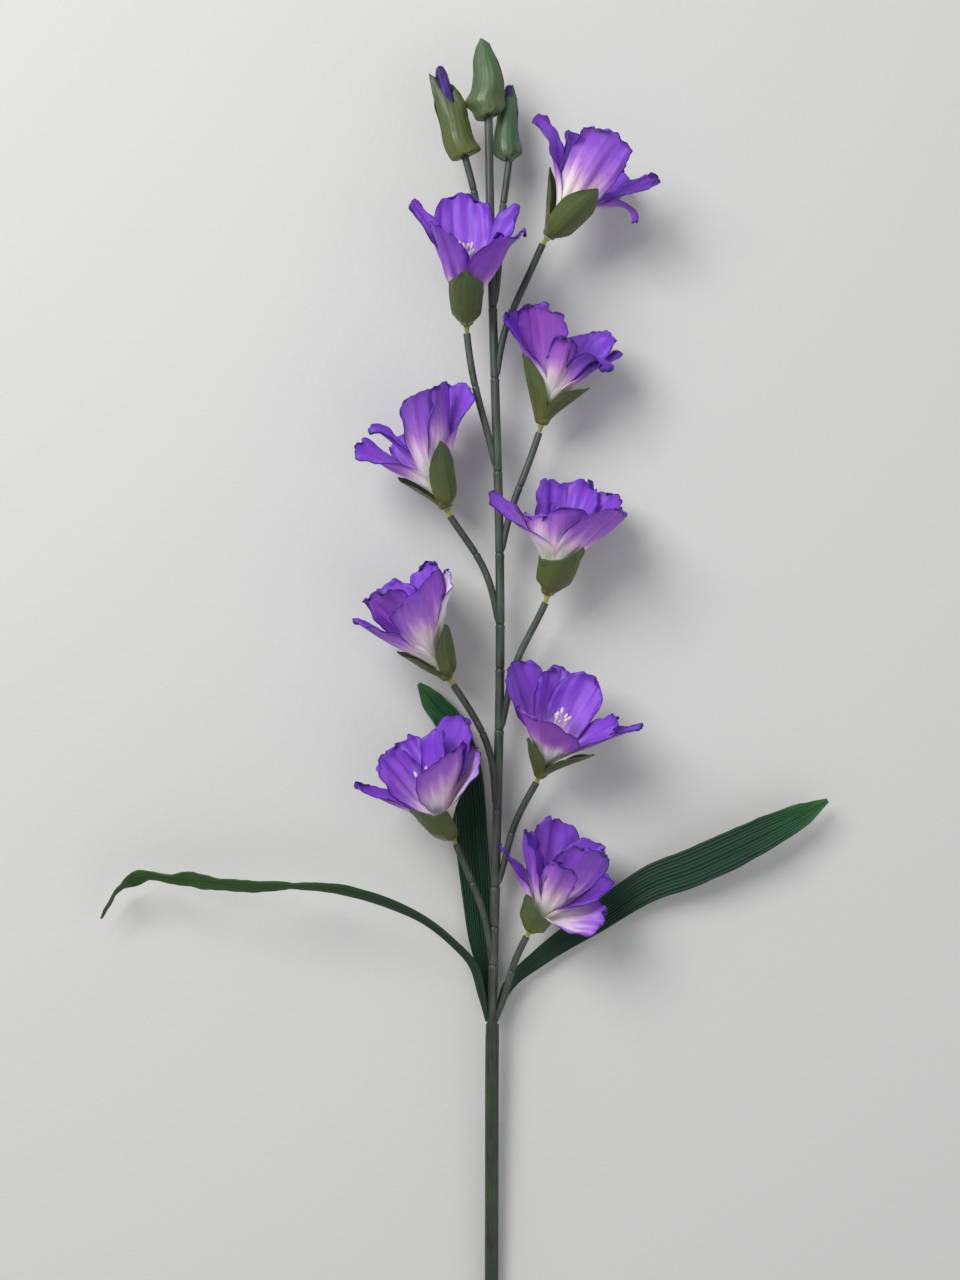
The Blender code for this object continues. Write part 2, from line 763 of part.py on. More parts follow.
def calyx(name, bloom, mat, parent):
    """A cup with two bracts."""
    frame = pose(bloom.foot, bloom.lean, bloom.tilt)
    stations = ((0.0, CUP_FOOT_RADIUS), (CUP_HEIGHT * 0.4, CUP_RIM_RADIUS), (CUP_HEIGHT, CUP_RIM_RADIUS))
    cup = turned(name, stations, 8, mat, parent)
    pieces = [
        blade_object("bract", blade, radius, BRACT_ROOT_HEIGHT, BRACT_GRID, mat, frame, TABLE_CLEARANCE, parent)
        for blade, radius in zip(bloom.bracts, (BRACT_ROOT_RADIUS, BRACT_ROOT_RADIUS - 0.6))
    ]
    return fuse(cup, pieces)


def peg(name, mat, parent):
    """The small turned peg that the calyx stands on."""
    top = -GAP
    low = top - PEG_LENGTH
    stations = (
        (low, PEG_RADIUS),
        (top - 1.6, PEG_RADIUS),
        (top - 1.2, PEG_COLLAR_RADIUS),
        (top, PEG_COLLAR_RADIUS),
    )
    return turned(name, stations, 6, mat, parent)


def stamens(name, mat, parent):
    """Three filaments with anthers on a small foot."""
    low = CUP_HEIGHT + GAP + CORE_HEIGHT + GAP
    foot = turned(name, ((low, 1.7), (low + 1.6, 1.7)), 6, mat, parent)
    pieces = []
    for turn, reach in ((90, 44.0), (210, 41.0), (330, 46.0)):
        a = math.radians(turn)
        line = Line(
            [
                (0.6 * math.cos(a), low + 0.6, 0.6 * math.sin(a)),
                (1.4 * math.cos(a), low + reach / 2, 1.4 * math.sin(a)),
                (4.6 * math.cos(a), low + reach, 4.6 * math.sin(a)),
            ]
        )
        end = line.length
        stations = (
            (0, STAMEN_RADIUS),
            (end / 2, STAMEN_RADIUS),
            (end - 8, STAMEN_RADIUS),
            (end - 6, ANTHER_RADIUS),
            (end, ANTHER_RADIUS / 2),
        )
        points, faces = rings(line, stations, 3)
        pieces.append(mesh_object("stamen", points, faces, mat, parent))
    return fuse(foot, pieces)


def spathe(name, bud, mat, parent):
    """Two bracts folded round a bud, on a small plug."""
    frame = pose(bud.foot, bud.lean, bud.tilt)
    plug = turned(name, ((0.0, 3.4), (1.2, 5.0), (PLUG_HEIGHT, 5.6)), 8, mat, parent)
    pieces = [
        blade_object("bract", blade, radius, 1.5, SPATHE_GRID, mat, frame, TABLE_CLEARANCE, parent)
        for blade, radius in zip(bud.bracts, (3.6, 2.9))
    ]
    return fuse(plug, pieces)


def rolled_petal(name, sizes, mat, parent):
    """A petal still rolled into a pointed bud."""
    low = PLUG_HEIGHT + GAP
    high, radius = sizes
    middle = low + (high - low) * 0.55
    stations = ((low, radius * 0.5), (middle, radius), (high - 8, radius * 0.8), (high, 0.5))
    return turned(name, stations, 8, mat, parent)


def branch_line(branch, end, end_direction):
    """The centre line of a branch, kept clear of the stalk all the way."""
    centre = stem_centre(branch.root)
    a = math.radians(branch.side)
    reach = stalk_radius(branch.root) + BRANCH_ROOT_RADIUS + GAP
    root = centre + reach * np.array([math.cos(a), 0, math.sin(a)])
    points = [root, *np.array(branch.points), end - 10 * end_direction, end]
    rough = Line(points)
    clear = []
    count = 11
    for k in range(count):
        distance = rough.length * k / (count - 1)
        place = rough.place(distance)
        middle = stem_centre(place[1])
        away = (place - middle) * (1, 0, 1)
        radius = branch_radius(distance)
        least = stalk_radius(place[1]) + radius + GAP + 0.15
        if np.linalg.norm(away) < least:
            place = middle + away / np.linalg.norm(away) * least
        clear.append(place)
    return Line(clear)


def stalk_radius(y):
    """The upper stalk's radius at a place up it."""
    share = (y - LOWER_STEM_LENGTH) / (STEM_LINE[-1][1] - LOWER_STEM_LENGTH)
    return STALK_RADIUS_LOW + (STALK_RADIUS_TOP - STALK_RADIUS_LOW) * np.clip(share, 0, 1)


def branch_radius(distance):
    """A branch's radius at a distance from its root."""
    return BRANCH_ROOT_RADIUS + (BRANCH_RADIUS - BRANCH_ROOT_RADIUS) * float(smooth_step(distance / 25))


def branch_object(name, branch, end, direction, mat, parent):
    """A side branch, thinner at its root, with one moulded knuckle."""
    line = branch_line(branch, end, direction)
    last = line.length
    stations = [(0.0, BRANCH_ROOT_RADIUS * 0.6), (1.2, BRANCH_ROOT_RADIUS)]
    stations.append((last * 0.12, branch_radius(last * 0.12)))
    stations += with_knuckles(last * 0.3, last, branch_radius, (last * branch.knuckle,))
    points, faces = rings(line, stations, 6)
    return mesh_object(name, points, faces, mat, parent)


def lower_stem(mat, parent):
    """The thick stem with the socket for the upper stalk, and a small pointed sheath at its rim."""
    top = STEM.at_height(LOWER_STEM_LENGTH)
    radius = LOWER_STEM_RADIUS
    stations = [(top * share, radius) for share in (0.0, 0.33, 0.67)]
    stations += [(top - 10, radius), (top, radius - 0.5)]
    rim = len(stations) - 1
    stations += [(top, SOCKET_RADIUS), (top - SOCKET_DEPTH, SOCKET_RADIUS)]

    def sheath(number, turn):
        if number not in (rim, rim + 1):
            return np.zeros(len(turn))
        return SHEATH_RISE * np.clip(np.cos(turn - math.radians(95)), 0, 1) ** 3

    points, faces = rings(STEM, stations, 12, sheath)
    return mesh_object("lower_stem", points, faces, mat, parent)


def upper_stalk(mat, parent):
    """The thin stalk, plugged into the lower stem and running up to the top bud."""
    start = STEM.at_height(LOWER_STEM_LENGTH) - SOCKET_DEPTH + GAP
    end = STEM.length - GAP
    places = [STEM.at_height(y) for y in KNUCKLES]

    def radius_at(distance):
        return float(stalk_radius(STEM.place(distance)[1]))

    stations = with_knuckles(start, end, radius_at, places)
    points, faces = rings(STEM, stations, 8)
    return mesh_object("upper_stalk", points, faces, mat, parent)


def leaf_surface(leaf, grid):
    """The middle surface of a leaf and its normals, swept along its midrib."""
    across, along = grid
    line = Line(leaf.points)
    rows = []
    normals = []
    for k in range(along + 1):
        distance = line.length * k / along
        way = line.direction(distance)
        centre = line.place(distance)
        half_width = np.interp(distance, line.at, leaf.half_widths)
        roll = math.radians(np.interp(distance, line.at, leaf.rolls))
        side = np.cross(way, (0, 0, 1))
        side /= np.linalg.norm(side)
        front = np.cross(side, way)
        flat = math.cos(roll) * side + math.sin(roll) * front
        raised = np.cross(flat, way)
        u = np.linspace(-1, 1, across + 1)[:, None]
        rows.append(centre + half_width * (u * flat + leaf.fold * np.abs(u) * raised))
        normals.append(raised - leaf.fold * np.sign(u) * flat)
    return np.array(rows), np.array(normals)


def leaf_object(name, leaf, mat, parent):
    """A leaf as a solid."""
    points, faces = sheet_solid(*leaf_surface(leaf, LEAF_GRID), LEAF_THICKNESS)
    return mesh_object(name, points, faces, mat, parent)


def centre_over_origin(root):
    """Move the whole stem so that the middle of its outline lies over the origin."""
    bpy.context.view_layer.update()
    solids = [obj for obj in bpy.data.objects if obj.type == "MESH"]
    corners = [obj.matrix_world @ vertex.co for obj in solids for vertex in obj.data.vertices]
    middle = [(min(c[k] for c in corners) + max(c[k] for c in corners)) / 2 for k in (0, 1)]
    root.location = (-middle[0], -middle[1], 0.0)


def main():
    """Build the stem, its leaves, its flowers and its buds."""
    clear_scene()
    petal_finish = finish("petal_fabric", (0.30, 0.10, 0.62), 0.6)
    bract_finish = finish("bract_plastic", (0.09, 0.14, 0.04), 0.5)
    stalk_finish = finish("stalk_plastic", (0.10, 0.16, 0.08), 0.5)
    stem_finish = finish("stem_plastic", (0.05, 0.12, 0.03), 0.45)
    leaf_finish = finish("leaf_fabric", (0.01, 0.06, 0.02), 0.5)
    peg_finish = finish("peg_plastic", (0.40, 0.36, 0.05), 0.5)
    stamen_finish = finish("stamen_plastic", (0.85, 0.80, 0.65), 0.5)

    root = empty("gladiolus_stem")
    lower_stem(stem_finish, root)
    upper_stalk(stalk_finish, root)
    for name, leaf in LEAVES.items():
        leaf_object("leaf_" + name, leaf, leaf_finish, root)
    for name, bloom in BLOOMS.items():
        turn, foot = pose(bloom.foot, bloom.lean, bloom.tilt)
        end = foot - turn[1] * (PEG_LENGTH + 3 * GAP)
        branch_object("branch_" + name, BRANCHES[name], end, turn[1], stalk_finish, root)
        holder = carrier("bloom_" + name, bloom.foot, bloom.lean, bloom.tilt, root)
        petals("petals_" + name, bloom, petal_finish, holder)
        calyx("calyx_" + name, bloom, bract_finish, holder)
        peg("peg_" + name, peg_finish, holder)
        stamens("stamens_" + name, stamen_finish, holder)
    for name, bud in BUDS.items():
        turn, foot = pose(bud.foot, bud.lean, bud.tilt)
        if name != "top":
            key = "bud_" + name
            branch_object("branch_" + key, BRANCHES[key], foot - turn[1] * GAP, turn[1], stalk_finish, root)
        holder = carrier("bud_" + name, bud.foot, bud.lean, bud.tilt, root)
        spathe("spathe_" + name, bud, bract_finish, holder)
        if bud.petal:
            rolled_petal("bud_petal_" + name, bud.petal, petal_finish, holder)
    centre_over_origin(root)


main()
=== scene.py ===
"""The looks of an artificial gladiolus stem that lies on a pale table.

The stem's own frame, in millimetres, is that of the plain part before it was centred: +Y runs from the cut
end to the top bud, +X is the right side of the spike and +Z is up from the table. A bloom has its own frame,
whose +Y is its axis and whose +Z faces up out of the table. Petals, bracts and leaves are thin sheets laid
out as grids, which a geometry node tree pleats, frills and thickens. Stalks and branches are swept along
their centre lines by another tree, and a third one sets the stamens round each flower's axis.
"""

import logging
import math
from dataclasses import dataclass, replace
from enum import Enum
from functools import partial
from typing import Any, Callable

import bpy
import numpy as np
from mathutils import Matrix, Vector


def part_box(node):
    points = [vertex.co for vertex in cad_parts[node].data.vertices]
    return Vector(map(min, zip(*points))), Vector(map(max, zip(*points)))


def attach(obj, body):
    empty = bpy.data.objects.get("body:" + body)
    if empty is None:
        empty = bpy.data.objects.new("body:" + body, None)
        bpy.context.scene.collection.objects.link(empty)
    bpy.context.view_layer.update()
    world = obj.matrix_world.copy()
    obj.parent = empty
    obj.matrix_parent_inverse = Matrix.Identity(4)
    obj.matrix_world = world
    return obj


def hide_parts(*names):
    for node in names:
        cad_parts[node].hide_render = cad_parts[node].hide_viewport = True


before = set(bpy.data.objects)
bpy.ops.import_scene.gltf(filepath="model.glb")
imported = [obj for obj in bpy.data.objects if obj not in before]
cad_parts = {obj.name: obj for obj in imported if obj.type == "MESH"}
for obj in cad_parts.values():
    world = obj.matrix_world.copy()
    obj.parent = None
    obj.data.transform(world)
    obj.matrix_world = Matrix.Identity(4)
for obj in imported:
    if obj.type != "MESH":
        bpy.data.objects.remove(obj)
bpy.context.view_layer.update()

log = logging.getLogger("gladiolus")

MM = 0.001
Triple = tuple[float, float, float]

# Sizes shared with the plain part, in millimetres and degrees
GAP = 0.3
LOWER_STEM_RADIUS = 4.85
LOWER_STEM_LENGTH = 260.0
SOCKET_RADIUS = 3.95
SOCKET_DEPTH = 18.0
SHEATH_RISE = 9.0
SHEATH_TURN = 95.0
STALK_RADIUS_LOW = 3.4
STALK_RADIUS_TOP = 2.9
BRANCH_RADIUS = 2.45
BRANCH_ROOT_RADIUS = 1.9
PEG_RADIUS = 1.6
PEG_COLLAR_RADIUS = 2.3
PEG_LENGTH = 5.0
CUP_HEIGHT = 7.2
CUP_FOOT_RADIUS = 4.2
CUP_RIM_RADIUS = 5.4
BRACT_ROOT_RADII = (4.2, 3.6)
BRACT_ROOT_HEIGHT = 1.1
CORE_RADIUS = 4.4
CORE_HEIGHT = 4.0
OUTER_ROOT_RADIUS = 3.0
INNER_ROOT_RADIUS = 1.9
PLUG_HEIGHT = 4.0

# The height of the lowest petals, how far the rest stays above them, and how softly a sheet bends up there
REST_LEVEL = 0.35
TABLE_CLEARANCE = 1.2
PRESS_BLEND = 1.5

# Sizes of the sheets. Above the rest level, frills and folds grow to their full depth over the two fades
PETAL_THICKNESS = 0.45
BRACT_THICKNESS = 0.7
LEAF_THICKNESS = 0.6
PETAL_ROOT_RISE = 1.2
CREASE_HALF_WIDTH = 4.0
FRILL_FADE = 4.0
FOLD_FADE = 3.0

# A spathe's nominal length, how far in from its mouth its edge still tells, and how far apart its halves are
SPATHE_LENGTH = 50.0
SPATHE_EDGE_RUN = 40.0
SPATHE_STAND_OFF = 0.4

# How often a rolled petal's seam winds round it, and how many flutes it has
ROLL_TURNS = 1.3
ROLL_FLUTES = 5

# Sizes of the branches and knuckles. A branch starts at a share of the stalk's radius, with a rounded tip
BRANCH_SEAT = 0.6
BRANCH_STRAIGHT = 4.0
BRANCH_SWELL_LENGTH = 25.0
BRANCH_TIP_SHARE = 0.35
BRANCH_TIP_LENGTH = 5.0
KNUCKLE_DEPTH = 0.4
KNUCKLE_WIDTH = 0.7
KNUCKLE_COLLAR = 0.22
COLLAR_STEP = 2.0
COLLAR_WIDTH = 1.1
STALK_STEP = 4.0

# How finely the forms are divided
LINE_SAMPLES = 400
MIDLINE_STEPS = 120
BRANCH_SMOOTHING = 8
ROUND_SIDES = 32
BRANCH_SIDES = 20
PEG_SIDES = 24
ROLLED_SIDES = 48
ROLLED_ROWS = 46
PETAL_CELLS = (36, 54)
BRACT_CELLS = (20, 26)
SPATHE_CELLS = (36, 48)
SHARP_ANGLE = math.radians(42)
MERGE_DISTANCE = 1e-6

# The shares of a blade's length from which its tip curls and its lip folds over
CURL_FROM = 0.6
LIP_FROM = 0.86

# How far from any cut edge the closed forms count as, in millimetres
FAR_FROM_EDGE = 9.0

# How far the frill of each kind of sheet reaches in from its edge, in millimetres
PETAL_FRILL_REACH = 11.0
BRACT_FRILL_REACH = 4.0
SPATHE_FRILL_REACH = 6.0
LEAF_FRILL_REACH = 6.0

# The depths of the skins' grain and of the leaf's pleats as the light sees them, in metres
SKIN_DEPTH = 0.0002
PLEAT_DEPTH = 0.0003

# How each kind of sheet is pressed, as the sheet tree's inputs: pitches in millimetres, depths in metres
LEAF_PLEATS = 11.0
PETAL_PRESSING = {"Fold Pitch": 10.0, "Fold Depth": 0.002, "Frill Pitch": 15.0, "Frill Depth": 0.0018}
BRACT_PRESSING = {
    "Thickness": BRACT_THICKNESS * MM,
    "Fold Pitch": 9.0,
    "Fold Depth": 0.0005,
    "Frill Pitch": 14.0,
    "Frill Depth": 0.0008,
}
SPATHE_PRESSING = {
    **BRACT_PRESSING,
    "Fold Pitch": 11.0,
    "Fold Depth": 0.0006,
    "Frill Pitch": 12.0,
    "Frill Depth": 0.001,
}
LEAF_PRESSING = {
    "Thickness": LEAF_THICKNESS * MM,
    "Pleats": LEAF_PLEATS,
    "Pleat Depth": 0.00025,
    "Fold Pitch": 9.0,
    "Fold Depth": 0.0006,
    "Frill Pitch": 18.0,
    "Frill Depth": 0.0022,
}

# The inputs that a range is read from and put into
FROM = ("From Min", "From Max")
TO = ("To Min", "To Max")

# The stem's centre line, from the cut end to the foot of the top bud
STEM_LINE = (
    (0.0, 0.0, 4.85),
    (0.3, 130.0, 10.6),
    (0.7, 260.0, 16.0),
    (3.0, 370.0, 20.5),
    (6.0, 513.0, 26.0),
    (5.6, 600.0, 29.0),
    (2.3, 714.0, 33.0),
    (-1.0, 833.0, 36.5),
    (-2.2, 896.0, 38.0),
)

# Heights up the stem at which the upper stalk has a moulded knuckle
KNUCKLES = (303.0, 330.0, 358.0, 413.0, 469.0, 512.0, 543.0, 593.0, 650.0, 715.0, 764.0)

# Steps along a stalk at which a knuckle's profile is drawn, closest in its groove
KNUCKLE_STEPS = np.array(
    [-5.0, -3.6, -2.8, -2.1, -1.5, -1.0, -0.6, -0.3, 0.0, 0.3, 0.6, 1.0, 1.6, 2.4, 3.6]
)


class Slot(Enum):
    """The record's material slots."""

    PETAL = "petal_fabric"
    BRACT = "bract_plastic"
    STALK = "stalk_plastic"
    STEM = "stem_plastic"
    LEAF = "leaf_fabric"
    PEG = "peg_plastic"
    STAMEN = "stamen_plastic"


class Tip(Enum):
    """How a sheet ends: round like a petal, or drawn to a point like a bract."""

    ROUND = "round"
    POINTED = "pointed"


def smooth_step(value: Any) -> Any:
    """0 below 0, 1 above 1, and an even S between."""
    t = np.clip(value, 0.0, 1.0)
    return t * t * (3 - 2 * t)


def rows_to_tip(count: int) -> np.ndarray:
    """Shares of a sheet's length, closer together towards its tip."""
    return 1 - (1 - np.arange(count + 1) / count) ** 1.25


def columns_to_edge(count: int) -> np.ndarray:
    """Places across a sheet from -1 to 1, closer together towards its edges."""
    t = np.linspace(-1, 1, count + 1)
    return 0.65 * t + 0.35 * np.sin(np.pi / 2 * t)


@dataclass
class Shape:
    """Points in millimetres in the stem's frame, the faces or the path on them, and values at the points."""

    points: np.ndarray
    faces: list[tuple[int, ...]]
    values: dict[str, np.ndarray]

    @staticmethod
    def joined(shapes: list["Shape"]) -> "Shape":
        """Put several shapes together.

        Args:
            shapes: shapes that may have different values; a missing one is 0.

        Returns:
            One shape with all their points, faces and values.
        """
        names = sorted({name for shape in shapes for name in shape.values})
        faces = []
        start = 0
        for shape in shapes:
            faces += [tuple(start + k for k in face) for face in shape.faces]
            start += len(shape.points)
        values = {
            name: np.concatenate([shape.values.get(name, np.zeros(len(shape.points))) for shape in shapes])
            for name in names
        }
        return Shape(np.concatenate([shape.points for shape in shapes]), faces, values)

    def as_root(self, share: float) -> "Shape":
        """Make the shape the root of the sheets that grow from it.

        Args:
            share: the share of a sheet's length that its colour runs over.

        Returns:
            The same shape, with no cut edge near.
        """
        self.values["along"] *= share
        self.values["to_edge"] = np.full(len(self.points), FAR_FROM_EDGE)
        return self

    def to_object(self, name: str, shift: np.ndarray) -> bpy.types.Object:
        """Make an object whose place is in its mesh.

        Args:
            name: the object's name.
            shift: the stem frame's place in the row's frame, in millimetres.

        Returns:
            The new object, linked to the scene. Without faces its points form a path.
        """
        mesh = bpy.data.meshes.new(name)
        places = (self.points + shift) * MM
        path = [] if self.faces else [(k, k + 1) for k in range(len(places) - 1)]
        mesh.from_pydata(places.tolist(), path, self.faces)
        for key, value in self.values.items():
            mesh.attributes.new(key, "FLOAT", "POINT").data.foreach_set("value", value.astype(np.float32))
        obj = bpy.data.objects.new(name, mesh)
        bpy.context.scene.collection.objects.link(obj)
        return obj


class Line:
    """A smooth curve through points, read by its distance along the points' straight runs."""

    def __init__(self, points: Any) -> None:
        """Keep the points and work out the curve's tangent at each of them."""
        self.points = np.array(points, float)
        steps = np.linalg.norm(np.diff(self.points, axis=0), axis=1)
        self.at = np.concatenate([[0.0], np.cumsum(steps)])
        self.length = self.at[-1]
        slopes = np.diff(self.points, axis=0) / steps[:, None]
        near, far = steps[:-1, None], steps[1:, None]
        inner = (slopes[:-1] * far + slopes[1:] * near) / (near + far)
        self.tangents = np.vstack([slopes[:1], inner, slopes[-1:]])

    def place(self, distance: float) -> np.ndarray:
        """The point at a distance along the curve. Past the ends it goes straight on."""
        i = int(np.clip(np.searchsorted(self.at, distance) - 1, 0, len(self.at) - 2))
        if distance < 0:
            return self.points[0] + self.tangents[0] * distance
        if distance > self.length:
            return self.points[-1] + self.tangents[-1] * (distance - self.length)
        span = self.at[i + 1] - self.at[i]
        t = (distance - self.at[i]) / span
        rise = t * t * (3 - 2 * t)
        return (
            self.points[i] * (1 - rise)
            + self.points[i + 1] * rise
            + self.tangents[i] * span * t * (1 - t) ** 2
            - self.tangents[i + 1] * span * t * t * (1 - t)
        )

    def direction(self, distance: float) -> np.ndarray:
        """The unit vector along the curve."""
        way = self.place(distance + 0.5) - self.place(distance - 0.5)
        return way / np.linalg.norm(way)

    def at_height(self, y: float) -> float:
        """The distance at which the curve reaches a place up the stem."""
        distances = np.linspace(0, self.length, LINE_SAMPLES)
        heights = [self.place(d)[1] for d in distances]
        return float(np.interp(y, heights, distances))


STEM = Line(STEM_LINE)


def stem_centre(y: float) -> np.ndarray:
    """The centre of the stem at a place up it."""
    return STEM.place(STEM.at_height(y))


def stalk_radius(y: float) -> float:
    """The upper stalk's radius at a place up it."""
    share = (y - LOWER_STEM_LENGTH) / (STEM_LINE[-1][1] - LOWER_STEM_LENGTH)
    return STALK_RADIUS_LOW + (STALK_RADIUS_TOP - STALK_RADIUS_LOW) * float(np.clip(share, 0, 1))


def branch_radius(distance: float) -> float:
    """A branch's radius at a distance from its root."""
    share = float(smooth_step(distance / BRANCH_SWELL_LENGTH))
    return BRANCH_ROOT_RADIUS + (BRANCH_RADIUS - BRANCH_ROOT_RADIUS) * share


def rings(
    line: Line,
    stations: list[tuple[float, float]],
    sides: int,
    lift: Callable[[int, np.ndarray], np.ndarray] | None = None,
) -> Shape:
    """Turn a closed shape along a line.

    Args:
        line: the centre line.
        stations: distance along it and radius, from one end to the other.
        sides: how many points each ring has.
        lift: how far each point of a numbered ring is moved along the line, if at all.

    Returns:
        The closed shape, with its faces outwards.
    """
    points = []
    turn = np.radians(-90 + 360 * np.arange(sides) / sides)
    for number, (distance, radius) in enumerate(stations):
        along = line.direction(distance)
        side = np.cross(along, (0, 0, 1))
        side /= np.linalg.norm(side)
        front = np.cross(side, along)
        shift = lift(number, turn) if lift else np.zeros(sides)
        centre = line.place(distance)
        points.append(
            centre
            + radius * (np.cos(turn)[:, None] * side + np.sin(turn)[:, None] * front)
            + shift[:, None] * along
        )
    faces = []
    for ring in range(len(stations) - 1):
        low, high = ring * sides, (ring + 1) * sides
        for k in range(sides):
            n = (k + 1) % sides
            faces.append((low + n, low + k, high + k, high + n))
    last = (len(stations) - 1) * sides
    faces.append(tuple(range(sides)))
    faces.append(tuple(range(last + sides - 1, last - 1, -1)))
    heights = np.repeat([distance for distance, _ in stations], sides)
    share = (heights - heights.min()) / (heights.max() - heights.min())
    return Shape(np.concatenate(points), faces, {"closed": np.ones(len(heights)), "along": share})


@dataclass(frozen=True)
class Axis:
    """Where a bloom or a bud stands: its foot, and its axis's lean to the right and tilt up in degrees."""

    foot: Triple
    lean: float
    tilt: float

    def rows(self) -> np.ndarray:
        """Its own X to the side, Y along its axis and Z up out of the table, as rows."""
        a, b = math.radians(self.lean), math.radians(self.tilt)
        axis = np.array([math.sin(a) * math.cos(b), math.cos(a) * math.cos(b), math.sin(b)])
        side = np.array([math.cos(a), -math.sin(a), 0.0])
        return np.stack([side, axis, np.cross(side, axis)])

    def to_stem(self, points: np.ndarray) -> np.ndarray:
        """Points of its own frame in the stem's frame."""
        return points @ self.rows() + np.array(self.foot)

    def line(self) -> Line:
        """Its axis as a line, from its foot."""
        foot = np.array(self.foot)
        return Line((foot, foot + self.rows()[1]))


